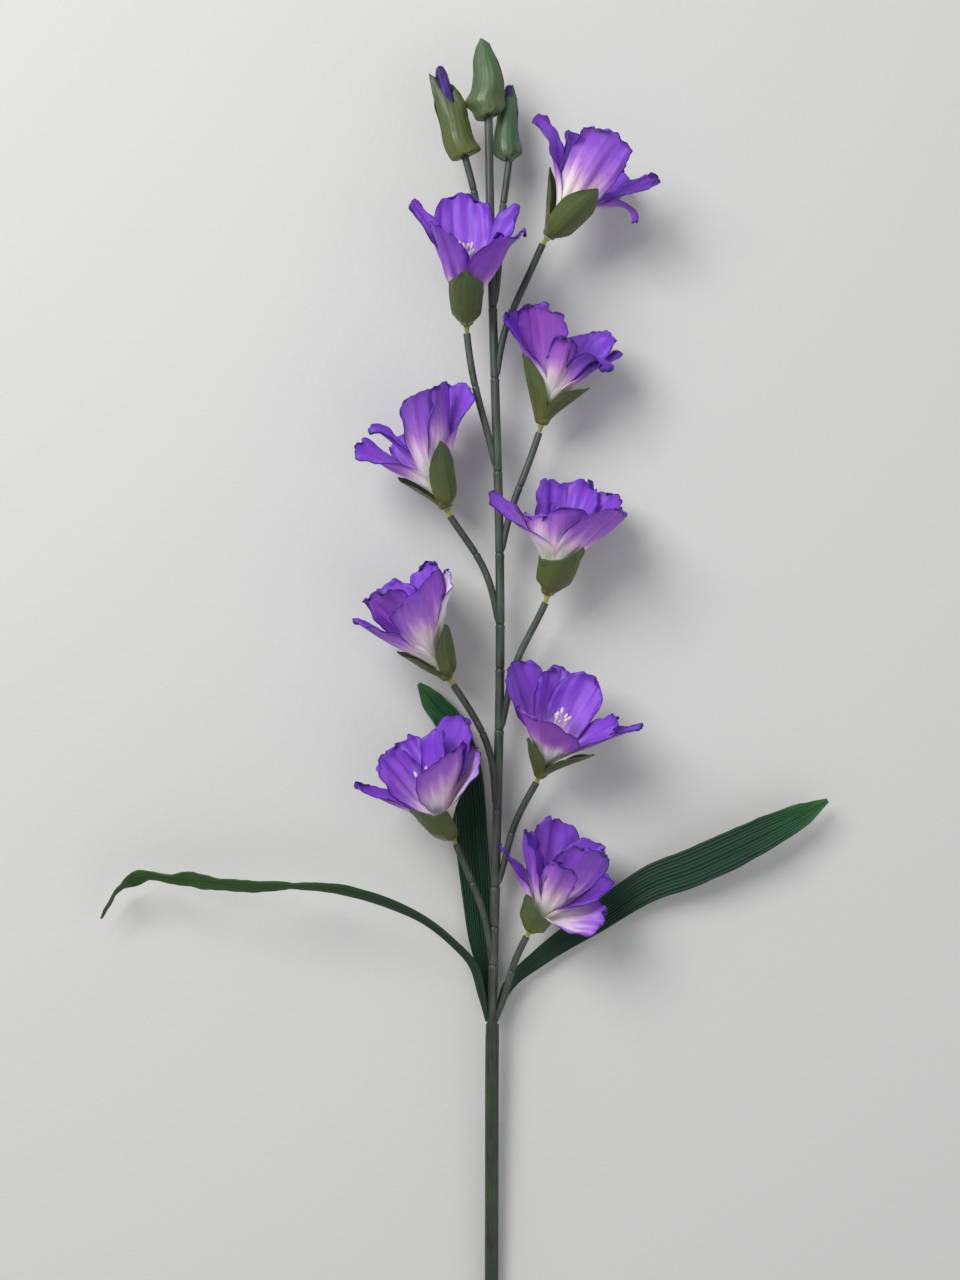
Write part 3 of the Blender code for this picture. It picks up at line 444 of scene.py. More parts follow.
@dataclass(frozen=True)
class Blade:
    """A petal or bract. Angles are in degrees, sizes in millimetres.

    turn is its place round the bloom's axis, 0 to the right and 90 upwards. spread is its angle from the
    axis at the wide part, curl the further bend of its tip, cup the bend of its sides towards the axis,
    wave the height of its ruffles and twist the turn about its own length. start is its angle at the
    root, ease the share of its length over which it reaches its spread and opens, and wrap how far it
    may reach round the axis to each side. base and tip are its widths at the ends and widest the place
    of its full width, all as shares, and blunt is how long it stays wide towards its tip. slant is the
    share of its length that is cut away on one side, and lip is how far its very end folds over. roll is
    how far its sides bend back, crease the depth of the groove along its middle and scallop the depth of
    the notches round its tip. tone runs from violet at 0 to rose at 1, and pale is how far its white
    throat reaches up.
    """

    turn: float
    length: float
    half_width: float
    spread: float
    curl: float = 0.0
    cup: float = 35.0
    wave: float = 0.0
    phase: float = 0.0
    twist: float = 0.0
    start: float = 24.0
    base: float = 0.42
    widest: float = 0.62
    tip: float = 0.3
    blunt: float = 2.2
    wrap: float = 74.0
    ease: float = 0.55
    arch: float = 0.05
    end: Tip = Tip.ROUND
    slant: float = 0.0
    lip: float = 0.0
    roll: float = 3.0
    crease: float = 1.0
    scallop: float = 0.8
    tone: float = 0.3
    pale: float = 0.0

    def outline(self, v: np.ndarray) -> np.ndarray:
        """The half width at shares v of the length, as a share of the widest."""
        rise = self.base + (1 - self.base) * np.sin(np.pi / 2 * np.clip(v / self.widest, 0, 1))
        past = np.clip((v - self.widest) / (1 - self.widest), 0, 1)
        left = 1 - past**self.blunt
        if self.end is Tip.ROUND:
            left = left ** (1 / self.blunt)
        return np.where(v < self.widest, rise, self.tip + (1 - self.tip) * left)

    def midline(self, root_radius: float, root_height: float) -> np.ndarray:
        """Follow the blade's middle from its root to its tip.

        Args:
            root_radius: the distance of its root from the axis.
            root_height: the height of its root up the axis.

        Returns:
            Four rows: the share of its length, and its angle in radians, radius and height there.
        """
        share = np.linspace(0, 1, MIDLINE_STEPS + 1)
        angle = self.start + (self.spread - self.start) * smooth_step(share / self.ease)
        angle = angle + self.curl * np.clip((share - CURL_FROM) / (1 - CURL_FROM), 0, 1) ** 1.5
        angle = np.radians(angle + self.lip * np.clip((share - LIP_FROM) / (1 - LIP_FROM), 0, 1))
        rising = (angle[1:] + angle[:-1]) / 2
        step = self.length / MIDLINE_STEPS
        out = root_radius + np.concatenate([[0], np.cumsum(np.sin(rising) * step)])
        up = root_height + np.concatenate([[0], np.cumsum(np.cos(rising) * step)])
        return np.stack([share, angle, out, up])

    def ruffles(self, u: np.ndarray, v: np.ndarray, own: float) -> np.ndarray:
        """How far the ruffles push each point towards the axis.

        Args:
            u: the points' places across, from -1 to 1.
            v: their shares of the length.
            own: the blade's own phase, in radians, so that no two are alike.

        Returns:
            Millimetres at each point, broad waves first, then short ones at the sides and round the tip.
        """
        broad = np.sin(2 * np.pi * 1.5 * v + self.phase + 2.6 * u) * (0.75 * u**2 + 0.25)
        sharp = np.sin(2 * np.pi * 3.4 * v + 2 * own + 3.4 * u) * u**4 * 0.5
        top = np.sin(5.6 * u + 1.7 * own) * v**4 * 0.45
        return self.wave * (broad * v**2 + sharp * v + top)

    def tip_cut(self, u: np.ndarray, v: np.ndarray, aside_mm: np.ndarray, own: float) -> np.ndarray:
        """The share of the length at each point, once the tip's corners, notches and slant are cut.

        Args:
            u: the points' places across, from -1 to 1.
            v: their shares of the length.
            aside_mm: their distances from the middle.
            own: the blade's own phase, in radians.

        Returns:
            The shares of the length.
        """
        notches = 1.6 + np.sin(0.36 * aside_mm + 2.1 * own) + 0.6 * np.sin(0.85 * aside_mm + 1.3 * own)
        cut = self.scallop / self.length * notches / 3.2
        oblique = max(self.slant, 0.0) * (1 + u) / 2 + max(-self.slant, 0.0) * (1 - u) / 2
        return v * (1 - self.arch * u**2 * v**3 - cut * v**8 - oblique * v**3)

    def surface(self, root_radius: float, root_height: float, across: int, along: int) -> "Sheet":
        """Lay the blade out in its bloom's frame.

        Args:
            root_radius: the distance of its root from the axis.
            root_height: the height of its root up the axis.
            across: cells across it.
            along: cells along it.

        Returns:
            The sheet through the middle of its thickness.
        """
        v, u = np.meshgrid(rows_to_tip(along), columns_to_edge(across), indexing="ij")
        own = self.phase + math.radians(self.turn)
        full = self.outline(v)
        aside_mm, along_mm = u * full * self.half_width, v * self.length
        share = self.tip_cut(u, v, aside_mm, own)
        shares, *rows = self.midline(root_radius, root_height)
        lean, radius, height = (np.interp(share, shares, row) for row in rows)
        room = np.radians(self.wrap) * np.maximum(radius, 2.0)
        limit = ((self.half_width * full) ** -6 + room**-6) ** (-1 / 6)
        lobes = np.sin(0.42 * along_mm + own + 1.3 * u) + 0.5 * np.sin(0.9 * along_mm + 3 * own - 2 * u)
        width = u * limit + 0.4 * self.scallop * u**3 * lobes * v**2 * full
        opened = smooth_step((v - 0.12) / (self.ease - 0.05))
        bend = (1 - opened) / np.maximum(radius, 3.0) + opened * np.radians(self.cup) / self.half_width
        sideways = width * np.sinc(width * bend / np.pi)
        inwards = width * np.sin(width * bend / 2) * np.sinc(width * bend / (2 * np.pi))
        inwards = inwards + self.ruffles(u, v, own) * full
        inwards = inwards - self.roll * np.abs(u) ** 5 * smooth_step(1.6 * v - 0.4) * full
        inwards = inwards - self.crease * np.exp(-((aside_mm / CREASE_HALF_WIDTH) ** 2)) * opened * full
        twist = np.radians(self.twist) * v**2
        sideways, inwards = (
            sideways * np.cos(twist) - inwards * np.sin(twist),
            sideways * np.sin(twist) + inwards * np.cos(twist),
        )
        turn = math.radians(self.turn)
        reach = radius - inwards * np.cos(lean)
        x = reach * math.cos(turn) - sideways * math.sin(turn)
        z = reach * math.sin(turn) + sideways * math.cos(turn)
        places = np.stack([x, height + inwards * np.sin(lean), z], axis=-1)
        to_edge = np.minimum((1 - np.abs(u)) * limit, (1 - v) * self.length + 0.35 * (1 - np.abs(u)))
        seed = self.turn * 0.37 + self.length
        return Sheet(places, u, v, to_edge, aside_mm, along_mm, self.tone, self.pale, seed)


@dataclass
class Sheet:
    """A thin sheet as a grid of points, its rows along it, with what its cloth reads at each point."""

    places: np.ndarray
    across: np.ndarray
    along: np.ndarray
    to_edge: np.ndarray
    aside_mm: np.ndarray
    along_mm: np.ndarray
    tone: float
    pale: float
    seed: float

    def stood_on(self, axis: Axis, level: float) -> "Sheet":
        """Put the sheet into the stem's frame, bent up where it would sink below a level.

        Args:
            axis: where its bloom stands.
            level: the lowest height that the sheet may have.

        Returns:
            The same sheet in the stem's frame.
        """
        places = axis.to_stem(self.places)
        depth = places[..., 2] - level
        slope = np.clip((depth + PRESS_BLEND) / (2 * PRESS_BLEND), 0, 1)
        places[..., 2] = level + np.where(depth > PRESS_BLEND, depth, PRESS_BLEND * slope**2)
        return replace(self, places=places)

    def shape(self, frill_depth: float) -> Shape:
        """Make the open grid that the node tree pleats and thickens.

        Args:
            frill_depth: how far the frill of its edge reaches in, in millimetres.

        Returns:
            An open shape whose faces look to the sheet's inner side.
        """
        rows, columns = self.across.shape
        corner = (np.arange(rows - 1)[:, None] * columns + np.arange(columns - 1)).ravel()
        faces = np.stack([corner, corner + 1, corner + columns + 1, corner + columns], axis=1)
        height = self.places[..., 2]
        loose = np.clip(1 - self.to_edge / frill_depth, 0, 1) * smooth_step(self.along * 2 - 0.5)
        loose = loose * np.clip((height - REST_LEVEL) / FRILL_FADE, 0, 1)
        count = rows * columns
        values = {
            "across": self.across.ravel(),
            "along": self.along.ravel(),
            "to_edge": self.to_edge.ravel(),
            "loose": loose.ravel(),
            "free": np.clip((height - REST_LEVEL) / FOLD_FADE, 0, 1).ravel(),
            "tone": np.full(count, self.tone),
            "pale": np.full(count, self.pale),
            "seed": np.full(count, self.seed),
            "aside_mm": self.aside_mm.ravel(),
            "along_mm": self.along_mm.ravel(),
        }
        return Shape(self.places.reshape(-1, 3), [tuple(face) for face in faces.tolist()], values)


def connect(tree: bpy.types.NodeTree, value: Any, target: bpy.types.NodeSocket) -> None:
    """Feed an input from a node, from a socket or by a plain value.

    Args:
        tree: the tree that both are in.
        value: what feeds it. A node gives its first enabled output.
        target: the input.
    """
    if isinstance(value, bpy.types.Node):
        value = next(socket for socket in value.outputs if socket.enabled)
    if isinstance(value, bpy.types.NodeSocket):
        tree.links.new(value, target)
    else:
        target.default_value = value


def add_node(
    tree: bpy.types.NodeTree,
    kind: str,
    links: dict[Any, Any] | None = None,
    stops: tuple[tuple[float, str], ...] = (),
    **settings: Any,
) -> bpy.types.Node:
    """Add a node to a shader or geometry tree.

    Args:
        tree: the tree.
        kind: the node's type.
        links: for each input, by name or number, the node or socket that feeds it or its plain value.
            A pair of names takes a pair of these.
        stops: the places and sRGB hex colours of a colour ramp.
        **settings: the node's own settings.

    Returns:
        The new node.
    """
    node = tree.nodes.new(kind)
    for name, value in settings.items():
        setattr(node, name, value)
    for keys, values in (links or {}).items():
        for key, value in zip(keys, values) if isinstance(keys, tuple) else ((keys, values),):
            named = [socket for socket in node.inputs if socket.enabled and socket.name == key]
            connect(tree, value, node.inputs[key] if isinstance(key, int) else named[0])
    if stops:
        points = node.color_ramp.elements
        while len(points) < len(stops):
            points.new(1.0)
        for point, (place, colour) in zip(points, stops):
            point.position = place
            point.color = linear(colour)
    return node


def linear(code: str) -> tuple[float, float, float, float]:
    """An sRGB hex colour as linear light, with full opacity."""
    parts = [int(code[k : k + 2], 16) / 255 for k in (1, 3, 5)]
    return (*[c / 12.92 if c <= 0.04045 else ((c + 0.055) / 1.055) ** 2.4 for c in parts], 1.0)


def new_tree(name: str, inputs: dict[str, tuple[str, Any]]) -> tuple[bpy.types.NodeTree, bpy.types.Node]:
    """Start a geometry node tree.

    Args:
        name: its name.
        inputs: each named input's kind of socket and its value at first.

    Returns:
        The tree and its input node.
    """
    tree = bpy.data.node_groups.new(name, "GeometryNodeTree")
    tree.interface.new_socket("Geometry", in_out="INPUT", socket_type="NodeSocketGeometry")
    for label, (kind, value) in inputs.items():
        socket = tree.interface.new_socket(label, in_out="INPUT", socket_type=kind)
        if value is not None:
            socket.default_value = value
    tree.interface.new_socket("Geometry", in_out="OUTPUT", socket_type="NodeSocketGeometry")
    return tree, tree.nodes.new("NodeGroupInput")


def end_tree(tree: bpy.types.NodeTree, given: bpy.types.Node, made: bpy.types.Node) -> bpy.types.NodeTree:
    """Finish a geometry node tree with its real geometry and its material."""
    real = add_node(tree, "GeometryNodeRealizeInstances", {"Geometry": made})
    dressed = add_node(
        tree, "GeometryNodeSetMaterial", {"Geometry": real, "Material": given.outputs["Material"]}
    )
    add_node(tree, "NodeGroupOutput", {0: dressed})
    return tree


def sheet_tree() -> bpy.types.NodeTree:
    """Build the tree that pleats open sheets, frills their edges and gives them a thickness.

    Returns:
        The tree. Closed shapes, whose value closed is 1, pass through it as they are.
    """
    sizes = {
        "Thickness": PETAL_THICKNESS * MM,
        "Pleats": 6.0,
        "Pleat Depth": 0.0,
        "Fold Pitch": 9.0,
        "Fold Depth": 0.0008,
        "Frill Pitch": 11.0,
        "Frill Depth": 0.002,
    }
    inputs = {label: ("NodeSocketFloat", size) for label, size in sizes.items()}
    tree, given = new_tree("pressed sheet", {**inputs, "Material": ("NodeSocketMaterial", None)})
    node = partial(add_node, tree)
    named = {
        name: node("GeometryNodeInputNamedAttribute", {"Name": name}, data_type="FLOAT")
        for name in ("across", "along", "aside_mm", "along_mm", "loose", "free", "seed", "closed")
    }
    split = {"Geometry": given.outputs["Geometry"], "Selection": named["closed"]}
    parts = node("GeometryNodeSeparateGeometry", split)
    turns = node("ShaderNodeMath", {0: named["across"], 1: given.outputs["Pleats"]}, operation="MULTIPLY")
    angle = node("ShaderNodeMath", {0: turns, 1: math.pi}, operation="MULTIPLY")
    fold = node("ShaderNodeMath", {0: angle}, operation="COSINE")
    spread = node("ShaderNodeMapRange", {"Value": named["along"], FROM: (0.05, 0.4)})
    opened = node("ShaderNodeMath", {0: spread, 1: named["free"]}, operation="MULTIPLY")
    depth = node("ShaderNodeMath", {0: opened, 1: given.outputs["Pleat Depth"]}, operation="MULTIPLY")
    relief = node("ShaderNodeMath", {0: fold, 1: depth}, operation="MULTIPLY")
    loose = node("ShaderNodeMath", {0: named["loose"], 1: 1.5}, operation="POWER")
    fold_row = node("ShaderNodeMath", {0: named["along"], 1: 1.3}, operation="MULTIPLY")
    frill_pitch = given.outputs["Frill Pitch"]
    frill_row = node("ShaderNodeMath", {0: named["along_mm"], 1: frill_pitch}, operation="DIVIDE")
    for label, row, where, detail in (("Fold", fold_row, opened, 1.5), ("Frill", frill_row, loose, 1.0)):
        pitch = {0: named["aside_mm"], 1: given.outputs[f"{label} Pitch"]}
        column = node("ShaderNodeMath", pitch, operation="DIVIDE")
        spot = node("ShaderNodeCombineXYZ", {"X": column, "Y": row, "Z": named["seed"]})
        noise = node("ShaderNodeTexNoise", {"Vector": spot, "Scale": 1.0, "Detail": detail})
        even = node("ShaderNodeMapRange", {"Value": noise.outputs[0], FROM: (0.3, 0.7), "To Min": -1.0})
        reach = node("ShaderNodeMath", {0: where, 1: given.outputs[f"{label} Depth"]}, operation="MULTIPLY")
        soft = node("ShaderNodeMath", {0: even, 1: reach}, operation="MULTIPLY")
        relief = node("ShaderNodeMath", {0: relief, 1: soft}, operation="ADD")
    thickness = given.outputs["Thickness"]
    half = node("ShaderNodeMath", {0: thickness, 1: 0.5}, operation="MULTIPLY")
    shift = node("ShaderNodeMath", {0: relief, 1: half}, operation="SUBTRACT")
    normal = node("GeometryNodeInputNormal")
    offset = node("ShaderNodeVectorMath", {0: normal, "Scale": shift}, operation="SCALE")
    moved = node("GeometryNodeSetPosition", {"Geometry": parts.outputs["Inverted"], "Offset": offset})
    thick = {"Mesh": moved, "Offset Scale": thickness, "Individual": False}
    raised = node("GeometryNodeExtrudeMesh", thick, mode="FACES")
    mark = {"Geometry": raised, "Name": "inner", "Value": raised.outputs["Top"]}
    inner = node("GeometryNodeStoreNamedAttribute", mark, data_type="FLOAT", domain="POINT")
    under = node("GeometryNodeFlipFaces", {"Mesh": moved})
    halves = node("GeometryNodeJoinGeometry", {"Geometry": inner})
    tree.links.new(under.outputs[0], halves.inputs[0])
    whole = node("GeometryNodeMergeByDistance", {"Geometry": halves, "Distance": MERGE_DISTANCE})
    joined = node("GeometryNodeJoinGeometry", {"Geometry": whole})
    tree.links.new(parts.outputs["Selection"], joined.inputs[0])
    return end_tree(tree, given, joined)


def stalk_tree() -> bpy.types.NodeTree:
    """Build the tree that sweeps a round stalk along a path.

    Returns:
        The tree. The path's points carry their radius as swell and the knuckles' profile as knuckle.
    """
    tree, given = new_tree(
        "swept stalk",
        {
            "Sides": ("NodeSocketInt", BRANCH_SIDES),
            "Knuckle Depth": ("NodeSocketFloat", KNUCKLE_DEPTH * MM),
            "Material": ("NodeSocketMaterial", None),
        },
    )
    node = partial(add_node, tree)
    named = {
        name: node("GeometryNodeInputNamedAttribute", {"Name": name}, data_type="FLOAT")
        for name in ("swell", "knuckle")
    }
    path = node("GeometryNodeMeshToCurve", {"Mesh": given.outputs["Geometry"]})
    groove = {0: named["knuckle"], 1: given.outputs["Knuckle Depth"]}
    dent = node("ShaderNodeMath", groove, operation="MULTIPLY")
    radius = node("ShaderNodeMath", {0: named["swell"], 1: dent}, operation="ADD")
    ring = node("GeometryNodeCurvePrimitiveCircle", {"Resolution": given.outputs["Sides"], "Radius": 1.0})
    sized = node("GeometryNodeSetCurveRadius", {"Curve": path, "Radius": radius})
    swept = node("GeometryNodeCurveToMesh", {"Curve": sized, "Profile Curve": ring, "Fill Caps": True})
    if "Scale" in swept.inputs:
        tree.links.new(radius.outputs[0], swept.inputs["Scale"])
    return end_tree(tree, given, swept)


def stamen_tree() -> bpy.types.NodeTree:
    """Build the tree that sets filaments with their anthers round a flower's axis, which is its +Z.

    Returns:
        The tree. It takes no geometry, and its random turns and sizes have a fixed seed.
    """
    tree, given = new_tree(
        "stamens",
        {
            "Count": ("NodeSocketInt", 9),
            "Reach": ("NodeSocketFloat", 0.044),
            "Spread": ("NodeSocketFloat", 0.0045),
            "Filament Radius": ("NodeSocketFloat", 0.00045),
            "Anther Length": ("NodeSocketFloat", 0.0055),
            "Anther Radius": ("NodeSocketFloat", 0.0011),
            "Foot Radius": ("NodeSocketFloat", 0.0017),
            "Foot Height": ("NodeSocketFloat", 0.0016),
            "Seed": ("NodeSocketInt", 1),
            "Material": ("NodeSocketMaterial", None),
        },
    )
    node = partial(add_node, tree)
    half = node("ShaderNodeMath", {0: given.outputs["Reach"], 1: 0.5}, operation="MULTIPLY")
    low = node("ShaderNodeCombineXYZ", {"X": 0.0007, "Z": 0.0006})
    middle = node("ShaderNodeCombineXYZ", {"X": 0.0012, "Z": half})
    tip = node("ShaderNodeCombineXYZ", {"X": given.outputs["Spread"], "Z": given.outputs["Reach"]})
    arc = {"Resolution": 14, "Start": low, "Middle": middle, "End": tip}
    bow = node("GeometryNodeCurveQuadraticBezier", arc)
    thread = {"Resolution": 8, "Radius": given.outputs["Filament Radius"]}
    ring = node("GeometryNodeCurvePrimitiveCircle", thread)
    filament = node("GeometryNodeCurveToMesh", {"Curve": bow, "Profile Curve": ring, "Fill Caps": True})
    ball = node("GeometryNodeMeshUVSphere", {"Segments": 10, "Rings": 8, "Radius": 1.0})
    long = node("ShaderNodeMath", {0: given.outputs["Anther Length"], 1: 0.5}, operation="MULTIPLY")
    wide = given.outputs["Anther Radius"]
    size = node("ShaderNodeCombineXYZ", {"X": wide, "Y": wide, "Z": long})
    nod = (0.0, math.radians(14), 0.0)
    hung = {"Geometry": ball, "Translation": tip, "Rotation": nod, "Scale": size}
    anther = node("GeometryNodeTransform", hung)
    stamen = node("GeometryNodeJoinGeometry", {"Geometry": filament})
    tree.links.new(anther.outputs[0], stamen.inputs[0])
    places = node("GeometryNodeMeshLine", {"Count": given.outputs["Count"], "Offset": (0.0, 0.0, 0.0)})
    number = node("GeometryNodeInputIndex")
    step = node("ShaderNodeMath", {0: 2 * math.pi, 1: given.outputs["Count"]}, operation="DIVIDE")
    even = node("ShaderNodeMath", {0: number, 1: step}, operation="MULTIPLY")
    stray, share = (
        node("FunctionNodeRandomValue", {**span, "Seed": given.outputs["Seed"]}, data_type="FLOAT")
        for span in ({"Min": -0.25, "Max": 0.25}, {"Min": 0.84, "Max": 1.0})
    )
    turn = node("ShaderNodeMath", {0: even, 1: stray}, operation="ADD")
    about = node("ShaderNodeCombineXYZ", {"Z": turn})
    tall = node("ShaderNodeCombineXYZ", {"X": 1.0, "Y": 1.0, "Z": share})
    brush = {"Points": places, "Instance": stamen, "Rotation": about, "Scale": tall}
    cluster = node("GeometryNodeInstanceOnPoints", brush)
    disc = {"Vertices": 16, "Radius": given.outputs["Foot Radius"], "Depth": given.outputs["Foot Height"]}
    foot = node("GeometryNodeMeshCylinder", disc)
    lift = node("ShaderNodeMath", {0: given.outputs["Foot Height"], 1: 0.5}, operation="MULTIPLY")
    raised = node("ShaderNodeCombineXYZ", {"Z": lift})
    stood = node("GeometryNodeTransform", {"Geometry": foot, "Translation": raised})
    whole = node("GeometryNodeJoinGeometry", {"Geometry": cluster})
    tree.links.new(stood.outputs[0], whole.inputs[0])
    return end_tree(tree, given, whole)


def grow(obj: bpy.types.Object, tree: bpy.types.NodeTree, settings: dict[str, Any]) -> bpy.types.Object:
    """Run a geometry node tree on an object and keep what it makes as the object's plain mesh.

    Args:
        obj: the object, which is changed.
        tree: the tree.
        settings: the values of the tree's named inputs.

    Returns:
        The same object.
    """
    modifier = obj.modifiers.new(tree.name, "NODES")
    modifier.node_group = tree
    sockets = {
        item.name: item.identifier
        for item in tree.interface.items_tree
        if item.item_type == "SOCKET" and item.in_out == "INPUT"
    }
    for label, value in settings.items():
        modifier[sockets[label]] = value
    graph = bpy.context.evaluated_depsgraph_get()
    made = bpy.data.meshes.new_from_object(
        obj.evaluated_get(graph), preserve_all_data_layers=True, depsgraph=graph
    )
    obj.modifiers.remove(modifier)
    obj.data = made
    return obj


class Finish:
    """A material in the making: its nodes, its grain, and the values that it reads at the piece's points."""

    def __init__(self, name: str, *values: str, grain_mm: float = 0.0) -> None:
        """Start the material.

        Args:
            name: its name.
            *values: the names of the values that it reads.
            grain_mm: the size of its skin's grain, or 0 for none.
        """
        self.material = bpy.data.materials.new(name)
        self.material.use_nodes = True
        self.tree = self.material.node_tree
        self.node = partial(add_node, self.tree)
        self.coords = self.node("ShaderNodeTexCoord").outputs["Object"]
        self.value = {
            value: self.node("ShaderNodeAttribute", attribute_name=value).outputs["Fac"] for value in values
        }
        if grain_mm:
            grain = {"Vector": self.coords, "Scale": 1 / (grain_mm * MM), "Detail": 2.0}
            self.grain = self.node("ShaderNodeTexNoise", grain)

    def streaks(self, across: float, along: float, detail: float, roughness: float) -> bpy.types.Node:
        """Add noise that is drawn out along a sheet.

        Args:
            across: how many spots it has over the sheet's half width.
            along: how many it has over the sheet's length.
            detail: the noise's detail.
            roughness: the noise's roughness.

        Returns:
            The noise.
        """
        x, y = (
            self.node("ShaderNodeMath", {0: self.value[name], 1: count}, operation="MULTIPLY")
            for name, count in (("across", across), ("along", along))
        )
        spot = self.node("ShaderNodeCombineXYZ", {"X": x, "Y": y, "Z": self.value["seed"]})
        noise = {"Vector": spot, "Scale": 1.0, "Detail": detail, "Roughness": roughness}
        return self.node("ShaderNodeTexNoise", noise)

    def wandered(self, share: Any, noise: bpy.types.Node, reach: float) -> bpy.types.Node:
        """Let a share wander where a noise is high or low.

        Args:
            share: the share, from 0 to 1.
            noise: the noise.
            reach: how far it wanders up and down.

        Returns:
            The share, kept between 0 and 1.
        """
        drift = self.node("ShaderNodeMapRange", {"Value": noise, FROM: (0.3, 0.7), TO: (-reach, reach)})
        return self.node("ShaderNodeMath", {0: share, 1: drift}, operation="ADD", use_clamp=True)

    def ribs(self, count: float) -> bpy.types.Node:
        """Add even ribs along a sheet, from -1 between them to 1 on them."""
        turns = {0: self.value["across"], 1: math.pi * count}
        angle = self.node("ShaderNodeMath", turns, operation="MULTIPLY")
        return self.node("ShaderNodeMath", {0: angle}, operation="COSINE")

    def painted_crease_shade(self, half_width: float, shade: float) -> bpy.types.Node:
        """Paint shade into the crease down a sheet's middle: a soft dark line, as a factor that is 1 beside
        it.
        """
        middle = self.node("ShaderNodeMath", {0: self.value["across"]}, operation="ABSOLUTE")
        line = {"Value": middle, FROM: (0.0, half_width), TO: (shade, 1.0)}
        return self.node("ShaderNodeMapRange", line, interpolation_type="SMOOTHSTEP")

    def coats(self, colour: Any, *layers: tuple[Any, Any]) -> Any:
        """Lay coats over a colour, one after another.

        Args:
            colour: the node of the first colour.
            *layers: each coat's share and its colour. A coat whose share is None shades what is under it.

        Returns:
            The node of the last coat.
        """
        for share, over in layers:
            coat = linear(over) if isinstance(over, str) else over
            links = {"Factor": 1.0 if share is None else share, "A": colour, "B": coat}
            blend = "MULTIPLY" if share is None else "MIX"
            colour = self.node("ShaderNodeMix", links, data_type="RGBA", blend_type=blend)
        return colour

    def reliefs(self, *layers: tuple[Any, float, float]) -> bpy.types.Node:
        """Raise the skin by one relief over another.

        Args:
            *layers: each relief's height, strength and depth in metres.

        Returns:
            The node of the last relief.
        """
        under: dict[str, bpy.types.Node] = {}
        for height, strength, depth in layers:
            links = {"Height": height, "Strength": strength, "Distance": depth, **under}
            under = {"Normal": self.node("ShaderNodeBump", links)}
        return under["Normal"]

    def finished(self, links: dict[str, Any]) -> bpy.types.Material:
        """Feed the Principled shader, each input by a node or a plain value, and hand the material over."""
        for name, value in links.items():
            connect(self.tree, value, self.tree.nodes["Principled BSDF"].inputs[name])
        return self.material


